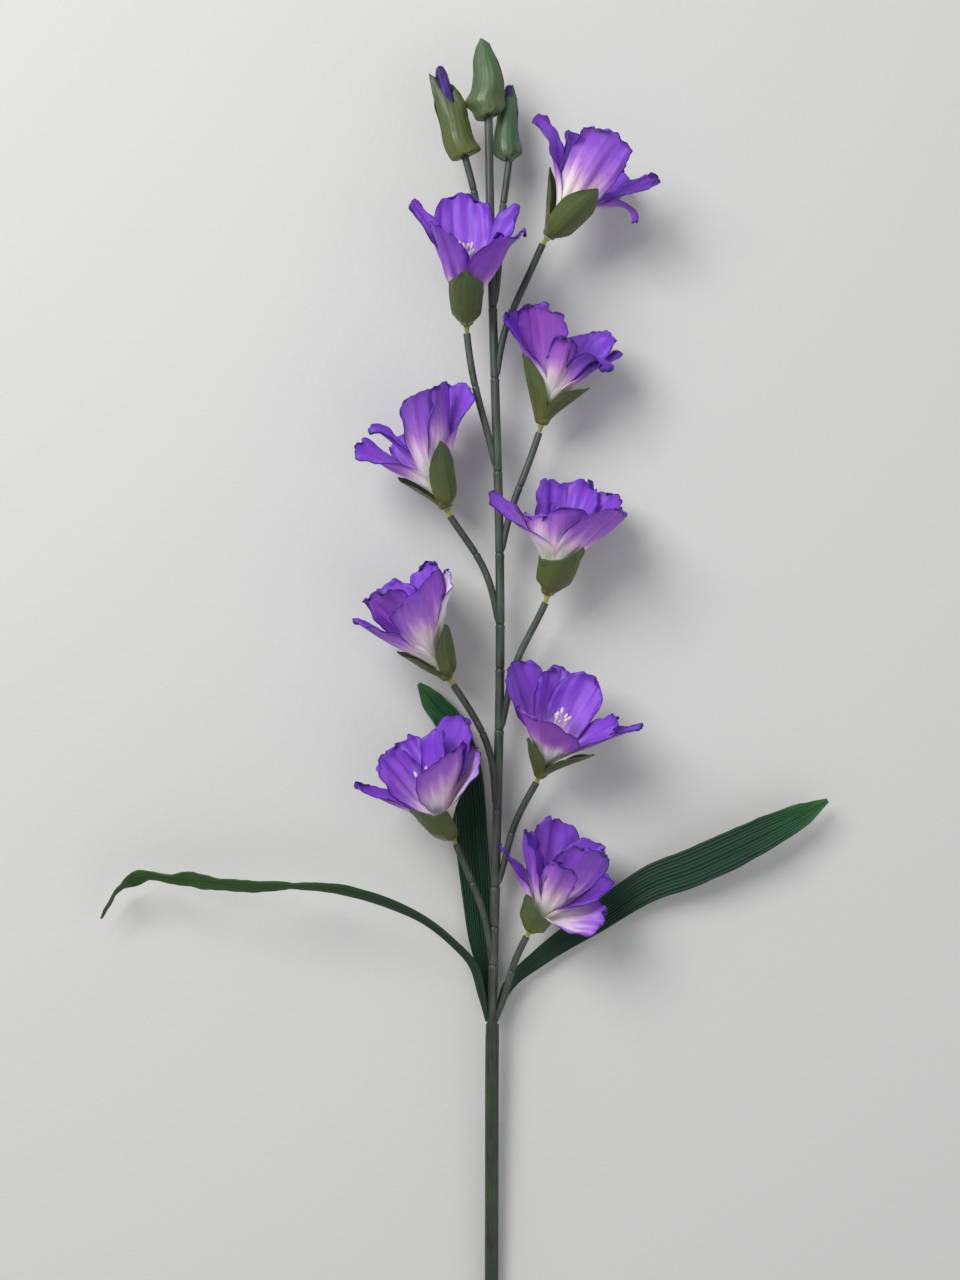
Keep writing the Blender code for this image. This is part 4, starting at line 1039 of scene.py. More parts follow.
@dataclass(frozen=True)
class PressedPetalCloth:
    """Polyester satin, dipped in dye and pressed hot between metal moulds.

    The dye runs from a cream throat to violet. The face that was dyed from above is bluer and deeper than
    the back, which the eye takes for rose, and the hot-cut edge is a thin dark line. The mould leaves fine
    veins that run along the petal, and the satin weave gives a soft sheen.
    """

    outer_dye: tuple[tuple[float, str], ...] = (
        (0.0, "#C2C88C"), (0.1, "#F0EED6"), (0.24, "#FDF4F2"), (0.35, "#FADCEA"), (0.43, "#D8A6E2"),
        (0.51, "#A870D6"), (0.66, "#844CC6"), (1.0, "#6836AE"),
    )
    inner_dye: tuple[tuple[float, str], ...] = (
        (0.0, "#D2D69C"), (0.14, "#FBF4F2"), (0.28, "#F6E2F6"), (0.4, "#BC8EEE"), (0.56, "#9058E4"),
        (0.8, "#7840D6"), (1.0, "#622CC0"),
    )
    rose: str = "#A050A8"
    hot_cut_edge: str = "#220E50"
    pooled_dye: str = "#5A28B0"
    sheen: str = "#D9C4FF"
    pool_mm: float = 8.0
    edge_mm: float = 1.1
    blots: float = 4.0
    veins: float = 11.0
    grain_mm: float = 0.7  # the real threads are 0.15 mm apart, too fine to show

    def material(self) -> bpy.types.Material:
        """Build the material."""
        values = ("across", "along", "inner", "to_edge", "tone", "pale", "seed")
        made = Finish("pressed_polyester_petal", *values, grain_mm=self.grain_mm)
        node, value = made.node, made.value
        throat = {"Value": value["pale"], TO: (1.0, 0.4)}
        held = node("ShaderNodeMapRange", throat, clamp=False)
        height = node("ShaderNodeMath", {0: value["along"], 1: held}, operation="MULTIPLY")
        dip = made.wandered(height, made.streaks(self.blots, 1.0, 4.0, 0.6), 0.08)
        dyes = (self.outer_dye, self.inner_dye)
        outer, inner = (node("ShaderNodeValToRGB", {0: dip}, dye) for dye in dyes)
        deep = node("ShaderNodeMapRange", {"Value": value["along"], FROM: (0.25, 0.6), "To Max": 0.55})
        rosy = node("ShaderNodeMath", {0: value["tone"], 1: deep}, operation="MULTIPLY")
        vein = made.streaks(self.veins, 0.8, 3.0, 0.55)
        fading = {"Value": value["along"], FROM: (0.3, 0.95), TO: (0.82, 0.94)}
        faded = node("ShaderNodeMapRange", fading)
        veined = node("ShaderNodeMapRange", {"Value": vein, FROM: (0.36, 0.56), "To Min": faded})
        grown = node("ShaderNodeMapRange", {"Value": value["along"], FROM: (0.3, 0.5)})
        rims = []
        for near, far, most in ((0.0, self.pool_mm, 0.6), (self.edge_mm * 0.5, self.edge_mm, 0.92)):
            inwards = {"Value": value["to_edge"], FROM: (near, far), TO: (most, 0.0)}
            rim = node("ShaderNodeMapRange", inwards, interpolation_type="SMOOTHSTEP")
            rims.append(node("ShaderNodeMath", {0: rim, 1: grown}, operation="MULTIPLY"))
        colour = made.coats(
            outer,
            (value["inner"], inner),
            (rosy, self.rose),
            (None, veined),
            # painted shade along the crease down the petal's middle
            (None, made.painted_crease_shade(0.035, 0.9)),
            (rims[0], self.pooled_dye),
            (rims[1], self.hot_cut_edge),
        )
        return made.finished(
            {
                "Base Color": colour,
                "Roughness": node("ShaderNodeMapRange", {"Value": made.grain, TO: (0.4, 0.6)}),
                "Normal": made.reliefs((made.grain, 0.35, SKIN_DEPTH), (vein, 0.18, SKIN_DEPTH)),
                "Subsurface Weight": 0.25,
                "Subsurface Radius": (0.004, 0.0025, 0.005),
                "Subsurface Scale": 1.0,
                "Sheen Weight": 0.05,
                "Sheen Roughness": 0.4,
                "Sheen Tint": linear(self.sheen),
                "Specular IOR Level": 0.35,
                "IOR": 1.53,
            }
        )


@dataclass(frozen=True)
class MouldedGreen:
    """Soft polyethylene, moulded and sprayed green.

    The spray lies thicker in the hollows, so the green drifts in soft patches from a yellower root to a
    greyer tip. The mould leaves shallow lines that run lengthwise, and the skin has a low waxy gloss.
    """

    name: str
    root: str
    body: str
    tip: str
    cooler: str = "#3C6248"  # what a second, bluer coat turns the green to
    line_count: float = 6.0
    patch_mm: float = 9.0
    grain_mm: float = 0.9
    roughness: float = 0.2
    dulled: float = 0.3  # how much rougher the skin is away from its hot-pressed, glossy root

    def material(self) -> bpy.types.Material:
        """Build the material."""
        made = Finish(self.name, "across", "along", "to_edge", "cool", grain_mm=self.grain_mm)
        node, value = made.node, made.value
        spots = {"Vector": made.coords, "Scale": 1 / (self.patch_mm * MM), "Detail": 3.0}
        patch = node("ShaderNodeTexNoise", spots)
        place = made.wandered(value["along"], patch, 0.2)
        stops = ((0.0, self.root), (0.35, self.body), (1.0, self.tip))
        spray = node("ShaderNodeValToRGB", {0: place}, stops)
        line = made.ribs(self.line_count)
        crests = {"Value": line, FROM: (-1.0, 1.0), TO: (0.95, 1.02)}
        brink = {"Value": value["to_edge"], FROM: (0.1, 0.8), TO: (0.72, 1.0)}
        colour = made.coats(
            spray,
            (value["cool"], self.cooler),
            (None, node("ShaderNodeMapRange", crests)),
            (None, node("ShaderNodeMapRange", brink, interpolation_type="SMOOTHSTEP")),
        )
        worn = {"Value": place, FROM: (0.05, 0.35), TO: (0.0, self.dulled)}
        gloss = {"Value": patch, FROM: (0.3, 0.7), TO: (self.roughness - 0.07, self.roughness + 0.1)}
        rough, dull = node("ShaderNodeMapRange", gloss), node("ShaderNodeMapRange", worn)
        return made.finished(
            {
                "Base Color": colour,
                "Roughness": node("ShaderNodeMath", {0: rough, 1: dull}, operation="ADD"),
                "Normal": made.reliefs((made.grain, 0.2, SKIN_DEPTH), (line, 0.35, SKIN_DEPTH)),
                "IOR": 1.51,
            }
        )


@dataclass(frozen=True)
class ExtrudedStalk:
    """Polyethylene drawn over a steel wire.

    The die leaves fine lines along the stalk, and the green is greyed by a dusty skin. At each moulded
    knuckle shade is painted as a darker ring in its groove, and a highlight is painted as a paler ring on
    its collar.
    """

    name: str
    body: str
    pale: str
    dark: str
    line_mm: float = 0.9  # the real die lines are finer than the eye can part
    run_mm: float = 26.0
    patches_to_metre: float = 45.0
    roughness: float = 0.5

    def material(self) -> bpy.types.Material:
        """Build the material."""
        made = Finish(self.name, "knuckle")
        node, knuckle = made.node, made.value["knuckle"]
        fine, long = 1 / (self.line_mm * MM), 1 / (self.run_mm * MM)
        drawn = node("ShaderNodeMapping", {"Vector": made.coords, "Scale": (fine, long, fine)})
        lines = node("ShaderNodeTexNoise", {"Vector": drawn, "Scale": 1.0, "Detail": 2.0})
        spots = {"Vector": made.coords, "Scale": self.patches_to_metre, "Detail": 3.0}
        patch = node("ShaderNodeTexNoise", spots)
        blend = node("ShaderNodeMath", {0: lines, 1: patch}, operation="ADD")
        share = node("ShaderNodeMapRange", {"Value": blend, FROM: (0.7, 1.3)})
        stops = ((0.0, self.dark), (0.5, self.body), (1.0, self.pale))
        green = node("ShaderNodeValToRGB", {0: share}, stops)
        # Painted shade: a darker ring in each knuckle's groove. Painted highlight: a paler ring on its
        # raised collar.
        ring = {"Value": knuckle, FROM: (-0.9, -0.1), TO: (0.5, 1.0)}
        collar = {"Value": knuckle, FROM: (0.1, 0.6), "To Max": 0.35}
        groove, painted_collar_highlight = node("ShaderNodeMapRange", ring), node("ShaderNodeMapRange", collar)
        gloss = {"Value": patch, TO: (self.roughness - 0.1, self.roughness + 0.1)}
        return made.finished(
            {
                # the knuckles' painted shade and painted highlight are laid over the green here
                "Base Color": made.coats(green, (None, groove), (painted_collar_highlight, self.pale)),
                "Roughness": node("ShaderNodeMapRange", gloss),
                "Normal": made.reliefs((lines, 0.3, SKIN_DEPTH)),
                "IOR": 1.51,
            }
        )


@dataclass(frozen=True)
class PleatedLeafCloth:
    """Polyester cloth with a rubbery coat, pressed into lengthwise pleats.

    The coat gives it a low gloss, the pleats catch the light as thin pale lines, and the sprayed tip is a
    lighter, yellower green than the rest.
    """

    root: str = "#08281A"
    body: str = "#0B3020"
    light: str = "#1D4E2E"
    tip: str = "#316028"
    yellower: str = "#365C1A"
    blots: float = 5.0
    blots_along: float = 7.0
    grain_mm: float = 0.8  # the real threads are 0.2 mm apart, too fine to show

    def material(self) -> bpy.types.Material:
        """Build the material."""
        values = ("across", "along", "seed", "tone")
        made = Finish("pleated_polyester_leaf", *values, grain_mm=self.grain_mm)
        node, value = made.node, made.value
        run = made.streaks(self.blots, self.blots_along, 4.0, 0.5)
        place = made.wandered(value["along"], run, 0.08)
        stops = ((0.0, self.root), (0.3, self.body), (0.78, self.body), (0.9, self.light), (1.0, self.tip))
        green = node("ShaderNodeValToRGB", {0: place}, stops)
        outer = node("ShaderNodeMapRange", {"Value": place, FROM: (0.25, 0.6)})
        sprayed = node("ShaderNodeMath", {0: outer, 1: value["tone"]}, operation="MULTIPLY")
        fold = made.ribs(LEAF_PLEATS)
        crest = node("ShaderNodeMapRange", {"Value": fold, FROM: (0.86, 1.0), "To Max": 0.75})
        lit = node("ShaderNodeMath", {0: crest, 1: run}, operation="MULTIPLY")
        # painted shade along the fold down the leaf's middle
        painted_fold_shade = made.painted_crease_shade(0.09, 0.55)
        return made.finished(
            {
                "Base Color": made.coats(green, (sprayed, self.yellower), (lit, self.light), (None, painted_fold_shade)),
                "Roughness": node("ShaderNodeMapRange", {"Value": made.grain, TO: (0.5, 0.7)}),
                "Normal": made.reliefs((made.grain, 0.3, SKIN_DEPTH), (fold, 0.5, PLEAT_DEPTH)),
                "IOR": 1.4,
            }
        )


@dataclass(frozen=True)
class CastPlastic:
    """Small parts of cast polyethylene, for the pegs and the stamens.

    The colour is in the plastic, so it only drifts a little, and a matt skin with faint dimples hides the
    gloss of the plastic under it.
    """

    name: str
    body: str
    shade: str
    specks_to_metre: float = 260.0
    grain_mm: float = 0.8
    roughness: float = 0.55

    def material(self) -> bpy.types.Material:
        """Build the material."""
        made = Finish(self.name, grain_mm=self.grain_mm)
        node = made.node
        specks = {"Vector": made.coords, "Scale": self.specks_to_metre, "Detail": 3.0}
        patch = node("ShaderNodeTexNoise", specks)
        share = node("ShaderNodeMapRange", {"Value": patch, FROM: (0.35, 0.65)})
        gloss = {"Value": made.grain, TO: (self.roughness - 0.1, self.roughness + 0.1)}
        return made.finished(
            {
                "Base Color": node("ShaderNodeValToRGB", {0: share}, ((0.0, self.shade), (1.0, self.body))),
                "Roughness": node("ShaderNodeMapRange", gloss),
                "Normal": made.reliefs((made.grain, 0.3, SKIN_DEPTH)),
                "IOR": 1.5,
            }
        )


class Workshop:
    """The node trees, the materials and the stem's place, which every sub-assembly shares."""

    def __init__(self) -> None:
        """Build the trees and materials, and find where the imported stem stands."""
        self.sheets = sheet_tree()
        self.stalks = stalk_tree()
        self.stamens = stamen_tree()
        finishes = {
            Slot.PETAL: PressedPetalCloth(),
            Slot.BRACT: MouldedGreen("moulded_polyethylene_bract", "#60622A", "#4D5827", "#46572F"),
            Slot.STALK: ExtrudedStalk("extruded_polyethylene_stalk", "#3A4139", "#4F594F", "#292F2A"),
            Slot.STEM: ExtrudedStalk("extruded_polyethylene_stem", "#22301D", "#304127", "#182115"),
            Slot.LEAF: PleatedLeafCloth(),
            Slot.PEG: CastPlastic("cast_polyethylene_peg", "#A9A244", "#837E33"),
            Slot.STAMEN: CastPlastic("cast_polyethylene_stamen", "#F2E9DC", "#D9C8B8"),
        }
        self.materials = {slot: finish.material() for slot, finish in finishes.items()}
        self.shift = self.find_shift()

    def find_shift(self) -> np.ndarray:
        """Compare the stem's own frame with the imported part.

        Returns:
            The stem frame's place in the row's frame, in millimetres.
        """
        low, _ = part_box("lower_stem")
        top = STEM.at_height(LOWER_STEM_LENGTH)
        stations = [(top * share, LOWER_STEM_RADIUS) for share in (0.0, 0.33, 0.67)]
        own = rings(STEM, stations, 12).points.min(axis=0)
        return np.array([low.x / MM - own[0], low.y / MM - own[1], 0.0])

    def place(
        self, name: str, node: str, slot: Slot, shape: Shape, settings: dict[str, float] | None = None
    ) -> None:
        """Make a piece and put it in the place of its plain node.

        Args:
            name: the piece's name.
            node: the plain node that it stands for.
            slot: the material slot that it takes its finish from.
            shape: its sheets and closed shapes, or the path that the stalk tree sweeps.
            settings: the tree's named inputs that aren't left at their first value.
        """
        obj = shape.to_object(name, self.shift)
        tree = self.sheets if shape.faces else self.stalks
        grow(obj, tree, {**(settings or {}), "Material": self.materials[slot]})
        self.dress(obj, node)

    def dress(self, obj: bpy.types.Object, node: str) -> None:
        """Shade a piece smooth but for its sharp edges, put it in the place of its node and report it."""
        obj.data.shade_smooth()
        obj.data.set_sharp_from_angle(angle=SHARP_ANGLE)
        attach(obj, "root")
        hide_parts(node)
        log.info("%s stands for %s with %d faces", obj.name, node, len(obj.data.polygons))


def knuckled_path(
    line: Line, start: float, end: float, radius_at: Callable[[float], float], knuckles: list[float]
) -> Shape:
    """The centre line of a stalk, as the path that the stalk tree sweeps.

    Args:
        line: the centre line.
        start: the distance along it at which the stalk begins.
        end: the distance at which it ends.
        radius_at: the stalk's radius at a distance.
        knuckles: the distances of its knuckles.

    Returns:
        A path whose points carry the radius and the profile of the knuckles.
    """
    near = [place + KNUCKLE_STEPS for place in knuckles]
    stations = np.concatenate([np.arange(start, end, STALK_STEP), [end], *near])
    stations = np.unique(np.round(stations[(stations >= start) & (stations <= end)], 2))
    profile = np.zeros(len(stations))
    for place in knuckles:
        from_it = stations - place
        profile -= np.exp(-((from_it / KNUCKLE_WIDTH) ** 2))
        collar = np.exp(-(((from_it + COLLAR_STEP) / COLLAR_WIDTH) ** 2))
        profile += KNUCKLE_COLLAR / KNUCKLE_DEPTH * collar
    points = np.array([line.place(distance) for distance in stations])
    radii = np.array([radius_at(distance) * MM for distance in stations])
    share = (stations - start) / (end - start)
    return Shape(points, [], {"swell": radii, "knuckle": profile, "along": share})


@dataclass(frozen=True)
class LowerStem:
    """The thick stem with the socket for the upper stalk, and a small pointed sheath at its rim."""

    radius: float = LOWER_STEM_RADIUS
    rim: float = 0.15

    def build(self, shop: Workshop) -> None:
        """Build the stem and put it in place."""
        top = STEM.at_height(LOWER_STEM_LENGTH)
        radius = self.radius
        stations = [(0.0, radius - 0.8), (0.5, radius - 0.15), (1.2, radius)]
        stations += [(top * share, radius) for share in np.linspace(0.03, 0.94, 24)]
        stations += [(top - 10, radius), (top - 5, radius - 0.2), (top - 0.5, radius - self.rim)]
        rim = len(stations)
        stations += [(top, radius - self.rim - 0.15), (top, SOCKET_RADIUS)]
        stations += [(top - SOCKET_DEPTH, SOCKET_RADIUS)]

        def sheath(number: int, turn: np.ndarray) -> np.ndarray:
            """The rise of the sheath at the stem's rim."""
            if number not in (rim - 1, rim, rim + 1):
                return np.zeros(len(turn))
            return SHEATH_RISE * np.clip(np.cos(turn - math.radians(SHEATH_TURN)), 0, 1) ** 3

        shop.place("stem_lower", "lower_stem", Slot.STEM, rings(STEM, stations, ROUND_SIDES, sheath))


@dataclass(frozen=True)
class UpperStalk:
    """The thin stalk, plugged into the lower stem and running up to the top bud."""

    sides: int = 24

    def build(self, shop: Workshop) -> None:
        """Build the stalk and put it in place."""

        def radius_at(distance: float) -> float:
            """The stalk's radius at a distance along the stem's line."""
            return stalk_radius(STEM.place(distance)[1])

        start = STEM.at_height(LOWER_STEM_LENGTH) - SOCKET_DEPTH + GAP
        places = [STEM.at_height(y) for y in KNUCKLES]
        path = knuckled_path(STEM, start, STEM.length - GAP, radius_at, places)
        shop.place("stem_upper", "upper_stalk", Slot.STALK, path, {"Sides": self.sides})


@dataclass(frozen=True)
class Branch:
    """A side branch: where its root ends on the stalk, the points that it passes, and where its knuckle is.

    side is the angle at which the root lies against the stalk, 0 to the right and 90 upwards.
    """

    root: float
    side: float
    points: tuple[Triple, ...]
    knuckle: float

    def line(self, end: np.ndarray, direction: np.ndarray) -> Line:
        """The centre line of the branch, which comes out of the stalk at a slight angle.

        Args:
            end: where it ends.
            direction: the unit vector along its end.

        Returns:
            The line from the branch's root to its end.
        """
        centre = stem_centre(self.root)
        a = math.radians(self.side)
        reach = BRANCH_SEAT * stalk_radius(self.root)
        root = centre + reach * np.array([math.cos(a), 0, math.sin(a)])
        rough = Line([root, *np.array(self.points), end - BRANCH_STRAIGHT * direction, end])
        even = np.array([rough.place(rough.length * share) for share in np.linspace(0, 1, 13)])
        for _ in range(BRANCH_SMOOTHING):
            even[1:-1] = (even[:-2] + 2 * even[1:-1] + even[2:]) / 4
        return Line(even)

    def build(self, shop: Workshop, key: str, end: np.ndarray, direction: np.ndarray) -> None:
        """Build the branch and put it in place.

        Args:
            shop: the workshop.
            key: the bloom or bud that it carries.
            end: where it ends.
            direction: the unit vector along its end.
        """
        line = self.line(end, direction)

        def radius_at(distance: float) -> float:
            """The branch's radius, drawn in to a rounded root."""
            drawn = math.sqrt(min(1.0, distance / BRANCH_TIP_LENGTH))
            return branch_radius(distance) * (BRANCH_TIP_SHARE + (1 - BRANCH_TIP_SHARE) * drawn)

        path = knuckled_path(line, 0.0, line.length, radius_at, [line.length * self.knuckle])
        shop.place(f"{key}_branch", f"branch_{key}", Slot.STALK, path)


@dataclass(frozen=True)
class Leaf:
    """A leaf: the points of its middle line, and its half width and roll at each of them.

    bright is how much of the yellower green was sprayed over its outer half.
    """

    points: tuple[Triple, ...]
    half_widths: tuple[float, ...]
    rolls: tuple[float, ...]
    fold: float
    bright: float = 0.0
    across: int = 44
    along: int = 90

    def sheet(self) -> Sheet:
        """The sheet through the middle of the leaf, swept along its middle line."""
        line = Line(self.points)
        u = columns_to_edge(self.across)[:, None]
        rise = self.fold * (np.sqrt(u**2 + 0.004) - 0.06)
        rows = []
        widths = []
        for k in range(self.along + 1):
            distance = line.length * k / self.along
            way = line.direction(distance)
            half_width = float(np.interp(distance, line.at, self.half_widths))
            roll = math.radians(float(np.interp(distance, line.at, self.rolls)))
            side = np.cross(way, (0, 0, 1))
            side /= np.linalg.norm(side)
            front = np.cross(side, way)
            flat = math.cos(roll) * side + math.sin(roll) * front
            raised = np.cross(flat, way)
            rows.append(line.place(distance) + half_width * (u * flat + rise * raised))
            widths.append(half_width)
        v, across = np.meshgrid(np.linspace(0, 1, self.along + 1), u[:, 0], indexing="ij")
        to_edge = (1 - np.abs(across)) * np.array(widths)[:, None]
        aside_mm = across * np.array(widths)[:, None]
        along_mm = v * line.length
        return Sheet(np.array(rows), across, v, to_edge, aside_mm, along_mm, self.bright, 0.0, line.length)

    def build(self, shop: Workshop, key: str) -> None:
        """Build the leaf and put it in place."""
        shape = self.sheet().shape(LEAF_FRILL_REACH)
        shop.place(f"{key}_leaf", f"leaf_{key}", Slot.LEAF, shape, LEAF_PRESSING)


@dataclass(frozen=True)
class Bloom(Axis):
    """An open flower: where it stands, its petals and bracts, and whether it rests on the table."""

    outer: tuple[Blade, ...]
    inner: tuple[Blade, ...]
    bracts: tuple[Blade, ...]
    rests: bool = False

    def petals(self, shop: Workshop, key: str) -> None:
        """Build the petals in their two layers, gathered on a core."""
        level = REST_LEVEL if self.rests else REST_LEVEL + TABLE_CLEARANCE
        low = CUP_HEIGHT + GAP
        stations = [(low, CORE_RADIUS - 1.2), (low + 0.4, CORE_RADIUS - 0.4), (low + 1.0, CORE_RADIUS)]
        stations += [(low + CORE_HEIGHT - 0.6, CORE_RADIUS), (low + CORE_HEIGHT, CORE_RADIUS - 0.7)]
        shapes = [rings(self.line(), stations, ROUND_SIDES).as_root(0.1)]
        for radius, layer in ((OUTER_ROOT_RADIUS, self.outer), (INNER_ROOT_RADIUS, self.inner)):
            for blade in layer:
                sheet = blade.surface(radius, low + PETAL_ROOT_RISE, *PETAL_CELLS)
                shapes.append(sheet.stood_on(self, level).shape(PETAL_FRILL_REACH))
        shop.place(f"{key}_petals", f"petals_{key}", Slot.PETAL, Shape.joined(shapes), PETAL_PRESSING)

    def calyx(self, shop: Workshop, key: str) -> None:
        """Build a cup with two bracts."""
        foot, rim = CUP_FOOT_RADIUS, CUP_RIM_RADIUS
        stations = [(0.0, foot - 0.8), (0.3, foot - 0.2), (1.0, foot + 0.3)]
        stations += [(2.9, rim), (CUP_HEIGHT - 0.4, rim), (CUP_HEIGHT, rim - 0.5)]
        shapes = [rings(self.line(), stations, ROUND_SIDES).as_root(0.15)]
        for radius, blade in zip(BRACT_ROOT_RADII, self.bracts):
            sheet = blade.surface(radius, BRACT_ROOT_HEIGHT, *BRACT_CELLS)
            shapes.append(sheet.stood_on(self, TABLE_CLEARANCE).shape(BRACT_FRILL_REACH))
        shop.place(f"{key}_calyx", f"calyx_{key}", Slot.BRACT, Shape.joined(shapes), BRACT_PRESSING)

    def peg(self, shop: Workshop, key: str) -> None:
        """Build the small turned peg that the calyx stands on."""
        top = -GAP
        low = top - PEG_LENGTH
        collar = PEG_COLLAR_RADIUS
        stations = [(low, PEG_RADIUS - 0.3), (low + 0.3, PEG_RADIUS), (top - 2.0, PEG_RADIUS)]
        stations += [(top - 1.7, PEG_RADIUS + 0.15), (top - 1.3, collar - 0.1), (top - 1.1, collar)]
        stations += [(top - 0.2, collar), (top, collar - 0.2)]
        shop.place(f"{key}_peg", f"peg_{key}", Slot.PEG, rings(self.line(), stations, PEG_SIDES))

    def stamens(self, shop: Workshop, key: str) -> None:
        """Build a brush of filaments with anthers on a small foot, and stand them in the flower."""
        low = CUP_HEIGHT + GAP + CORE_HEIGHT + GAP
        obj = Shape(np.zeros((2, 3)), [], {}).to_object(f"{key}_stamens", np.zeros(3))
        seed = len(key) + int(self.foot[1])
        grow(obj, shop.stamens, {"Seed": seed, "Material": shop.materials[Slot.STAMEN]})
        own = np.zeros(len(obj.data.vertices) * 3)
        obj.data.vertices.foreach_get("co", own)
        x, y, z = own.reshape(-1, 3).T / MM
        places = (self.to_stem(np.stack([y, z + low, x], axis=1)) + shop.shift) * MM
        obj.data.vertices.foreach_set("co", places.ravel())
        obj.data.update()
        shop.dress(obj, f"stamens_{key}")

    def build(self, shop: Workshop, key: str) -> None:
        """Build the flower on its branch."""
        direction = self.rows()[1]
        BRANCHES[key].build(shop, key, np.array(self.foot) - direction * (PEG_LENGTH + 3 * GAP), direction)
        self.petals(shop, key)
        self.calyx(shop, key)
        self.peg(shop, key)
        self.stamens(shop, key)


@dataclass(frozen=True)
class Bag:
    """The flat bag that a bud's two bracts make, in the bud's own frame.

    left and right are its two seams from the stalk to the tip, each as steps to the side and up the axis.
    bulge is how far its middle stands off, swell the share of its height at which it is thickest, mouth how
    far its halves stand off where it is flat, and pinch how high the gathers at its root are drawn up.
    """

    left: tuple[tuple[float, float], ...]
    right: tuple[tuple[float, float], ...]
    bulge: float = 8.0
    swell: float = 0.25
    mouth: float = 2.0
    pinch: float = 1.6

    def seam(self, points: tuple[tuple[float, float], ...], share: np.ndarray) -> np.ndarray:
        """Follow a seam, its corners slightly rounded.

        Args:
            points: the seam's corners.
            share: the shares of its length.

        Returns:
            The places on it, to the side and up.
        """
        line = Line([(x, y, 0.0) for x, y in points])
        return np.array([line.place(line.length * t)[:2] for t in share])

    def sheet(self, side: int, dip: float, across: int, along: int) -> Sheet:
        """Lay out one half of the bag.

        Args:
            side: 1 for the half towards +Z and -1 for the other.
            dip: how far the middle of its upper edge sinks.
            across: cells across it.
            along: cells along it.

        Returns:
            The half as a sheet, with its faces to the inside of the bag.
        """
        v, u = np.meshgrid(np.linspace(0, 1, along + 1), columns_to_edge(across), indexing="ij")
        left, right = self.seam(self.left, v[:, 0])[:, None], self.seam(self.right, v[:, 0])[:, None]
        share = ((1 - side * u) / 2)[..., None]
        flat = left * (1 - share) + right * share
        round_here = np.sin(np.pi * np.clip(v, 0, 1) ** (math.log(0.5) / math.log(self.swell))) ** 0.7
        depth = self.mouth + (self.bulge - self.mouth) * round_here - 1.4 * v**2
        bulge = depth * (1 - np.abs(u) ** 2.4)
        sink = dip * np.exp(-(((share[..., 0] - 0.62) / 0.3) ** 2)) * v**3
        pinch = self.pinch * np.exp(-((u / 0.35) ** 2)) * (1 - v) ** 10
        out = side * (bulge + SPATHE_STAND_OFF)
        places = np.stack([flat[..., 0], flat[..., 1] - sink + pinch, out], axis=-1)
        half_width = np.linalg.norm(right - left, axis=-1) / 2
        to_edge = np.minimum((1 - np.abs(u)) * half_width, (1 - v) * SPATHE_EDGE_RUN)
        seed = side * 3.0 + self.bulge
        return Sheet(places, u, v, to_edge, u * half_width, v * SPATHE_LENGTH, 0.0, 0.0, seed)


@dataclass(frozen=True)
class Bud(Axis):
    """A bud: where it stands, its bag of two bracts and its rolled petal.

    dip is how far the front bract's upper edge sinks, and petal is the rolled petal's height and radius,
    which is left out where none shows. cool is how much of the bluer coat the spathe has.
    """

    bag: Bag
    dip: float = 0.0
    petal: tuple[float, ...] = ()
    cool: float = 0.0

    def spathe(self, shop: Workshop, key: str) -> None:
        """Build two bracts pressed into a flat bag round the bud, on a small plug."""
        stations = [(0.0, 2.4), (0.4, 3.0), (1.2, 3.6), (PLUG_HEIGHT - 0.5, 4.0), (PLUG_HEIGHT, 3.6)]
        shapes = [rings(self.line(), stations, ROUND_SIDES).as_root(0.1)]
        for side, dip in ((1, self.dip), (-1, 0.0)):
            sheet = self.bag.sheet(side, dip, *SPATHE_CELLS)
            shapes.append(sheet.stood_on(self, TABLE_CLEARANCE).shape(SPATHE_FRILL_REACH))
        bag = Shape.joined(shapes)
        bag.values["cool"] = np.full(len(bag.points), self.cool)
        shop.place(f"bud_{key}_spathe", f"spathe_{key}", Slot.BRACT, bag, SPATHE_PRESSING)

    def rolled_petal(self, shop: Workshop, key: str) -> None:
        """Build the petal that is still rolled into a pointed bud, its seam winding up round it."""
        low = PLUG_HEIGHT + GAP
        high, radius = self.petal
        line = self.line()
        share = np.linspace(0, 1, ROLLED_ROWS)
        profile = np.interp(share, (0.0, 0.55, 0.9, 0.985, 1.0), (0.5, 1.0, 0.8, 0.5, 0.15)) * radius
        stations = [(low + (high - low) * t, r) for t, r in zip(share, profile)]
        shape = rings(line, stations, ROLLED_SIDES)
        turn = np.tile(np.arange(ROLLED_SIDES) / ROLLED_SIDES, ROLLED_ROWS)
        seam = (turn + shape.values["along"] * ROLL_TURNS) % 1.0
        centre = np.array([line.place(distance) for distance, _ in stations]).repeat(ROLLED_SIDES, axis=0)
        swell = 0.8 + 0.3 * seam + 0.06 * np.cos(turn * 2 * ROLL_FLUTES * np.pi)
        shape.points = centre + (shape.points - centre) * swell[:, None]
        shape.values["across"] = seam * 2 - 1
        shape.values["to_edge"] = np.minimum(seam, 1 - seam) * 1.6
        shape.values["along"] = 0.8 + 0.2 * shape.values["along"]
        shape.values["inner"] = np.full(len(shape.points), 0.4)
        shop.place(f"bud_{key}_petal", f"bud_petal_{key}", Slot.PETAL, shape)

    def build(self, shop: Workshop, key: str) -> None:
        """Build the bud, on its branch if it has one."""
        direction = self.rows()[1]
        branch = f"bud_{key}"
        if branch in BRANCHES:
            BRANCHES[branch].build(shop, branch, np.array(self.foot) - direction * GAP, direction)
        self.spathe(shop, key)
        if self.petal:
            self.rolled_petal(shop, key)


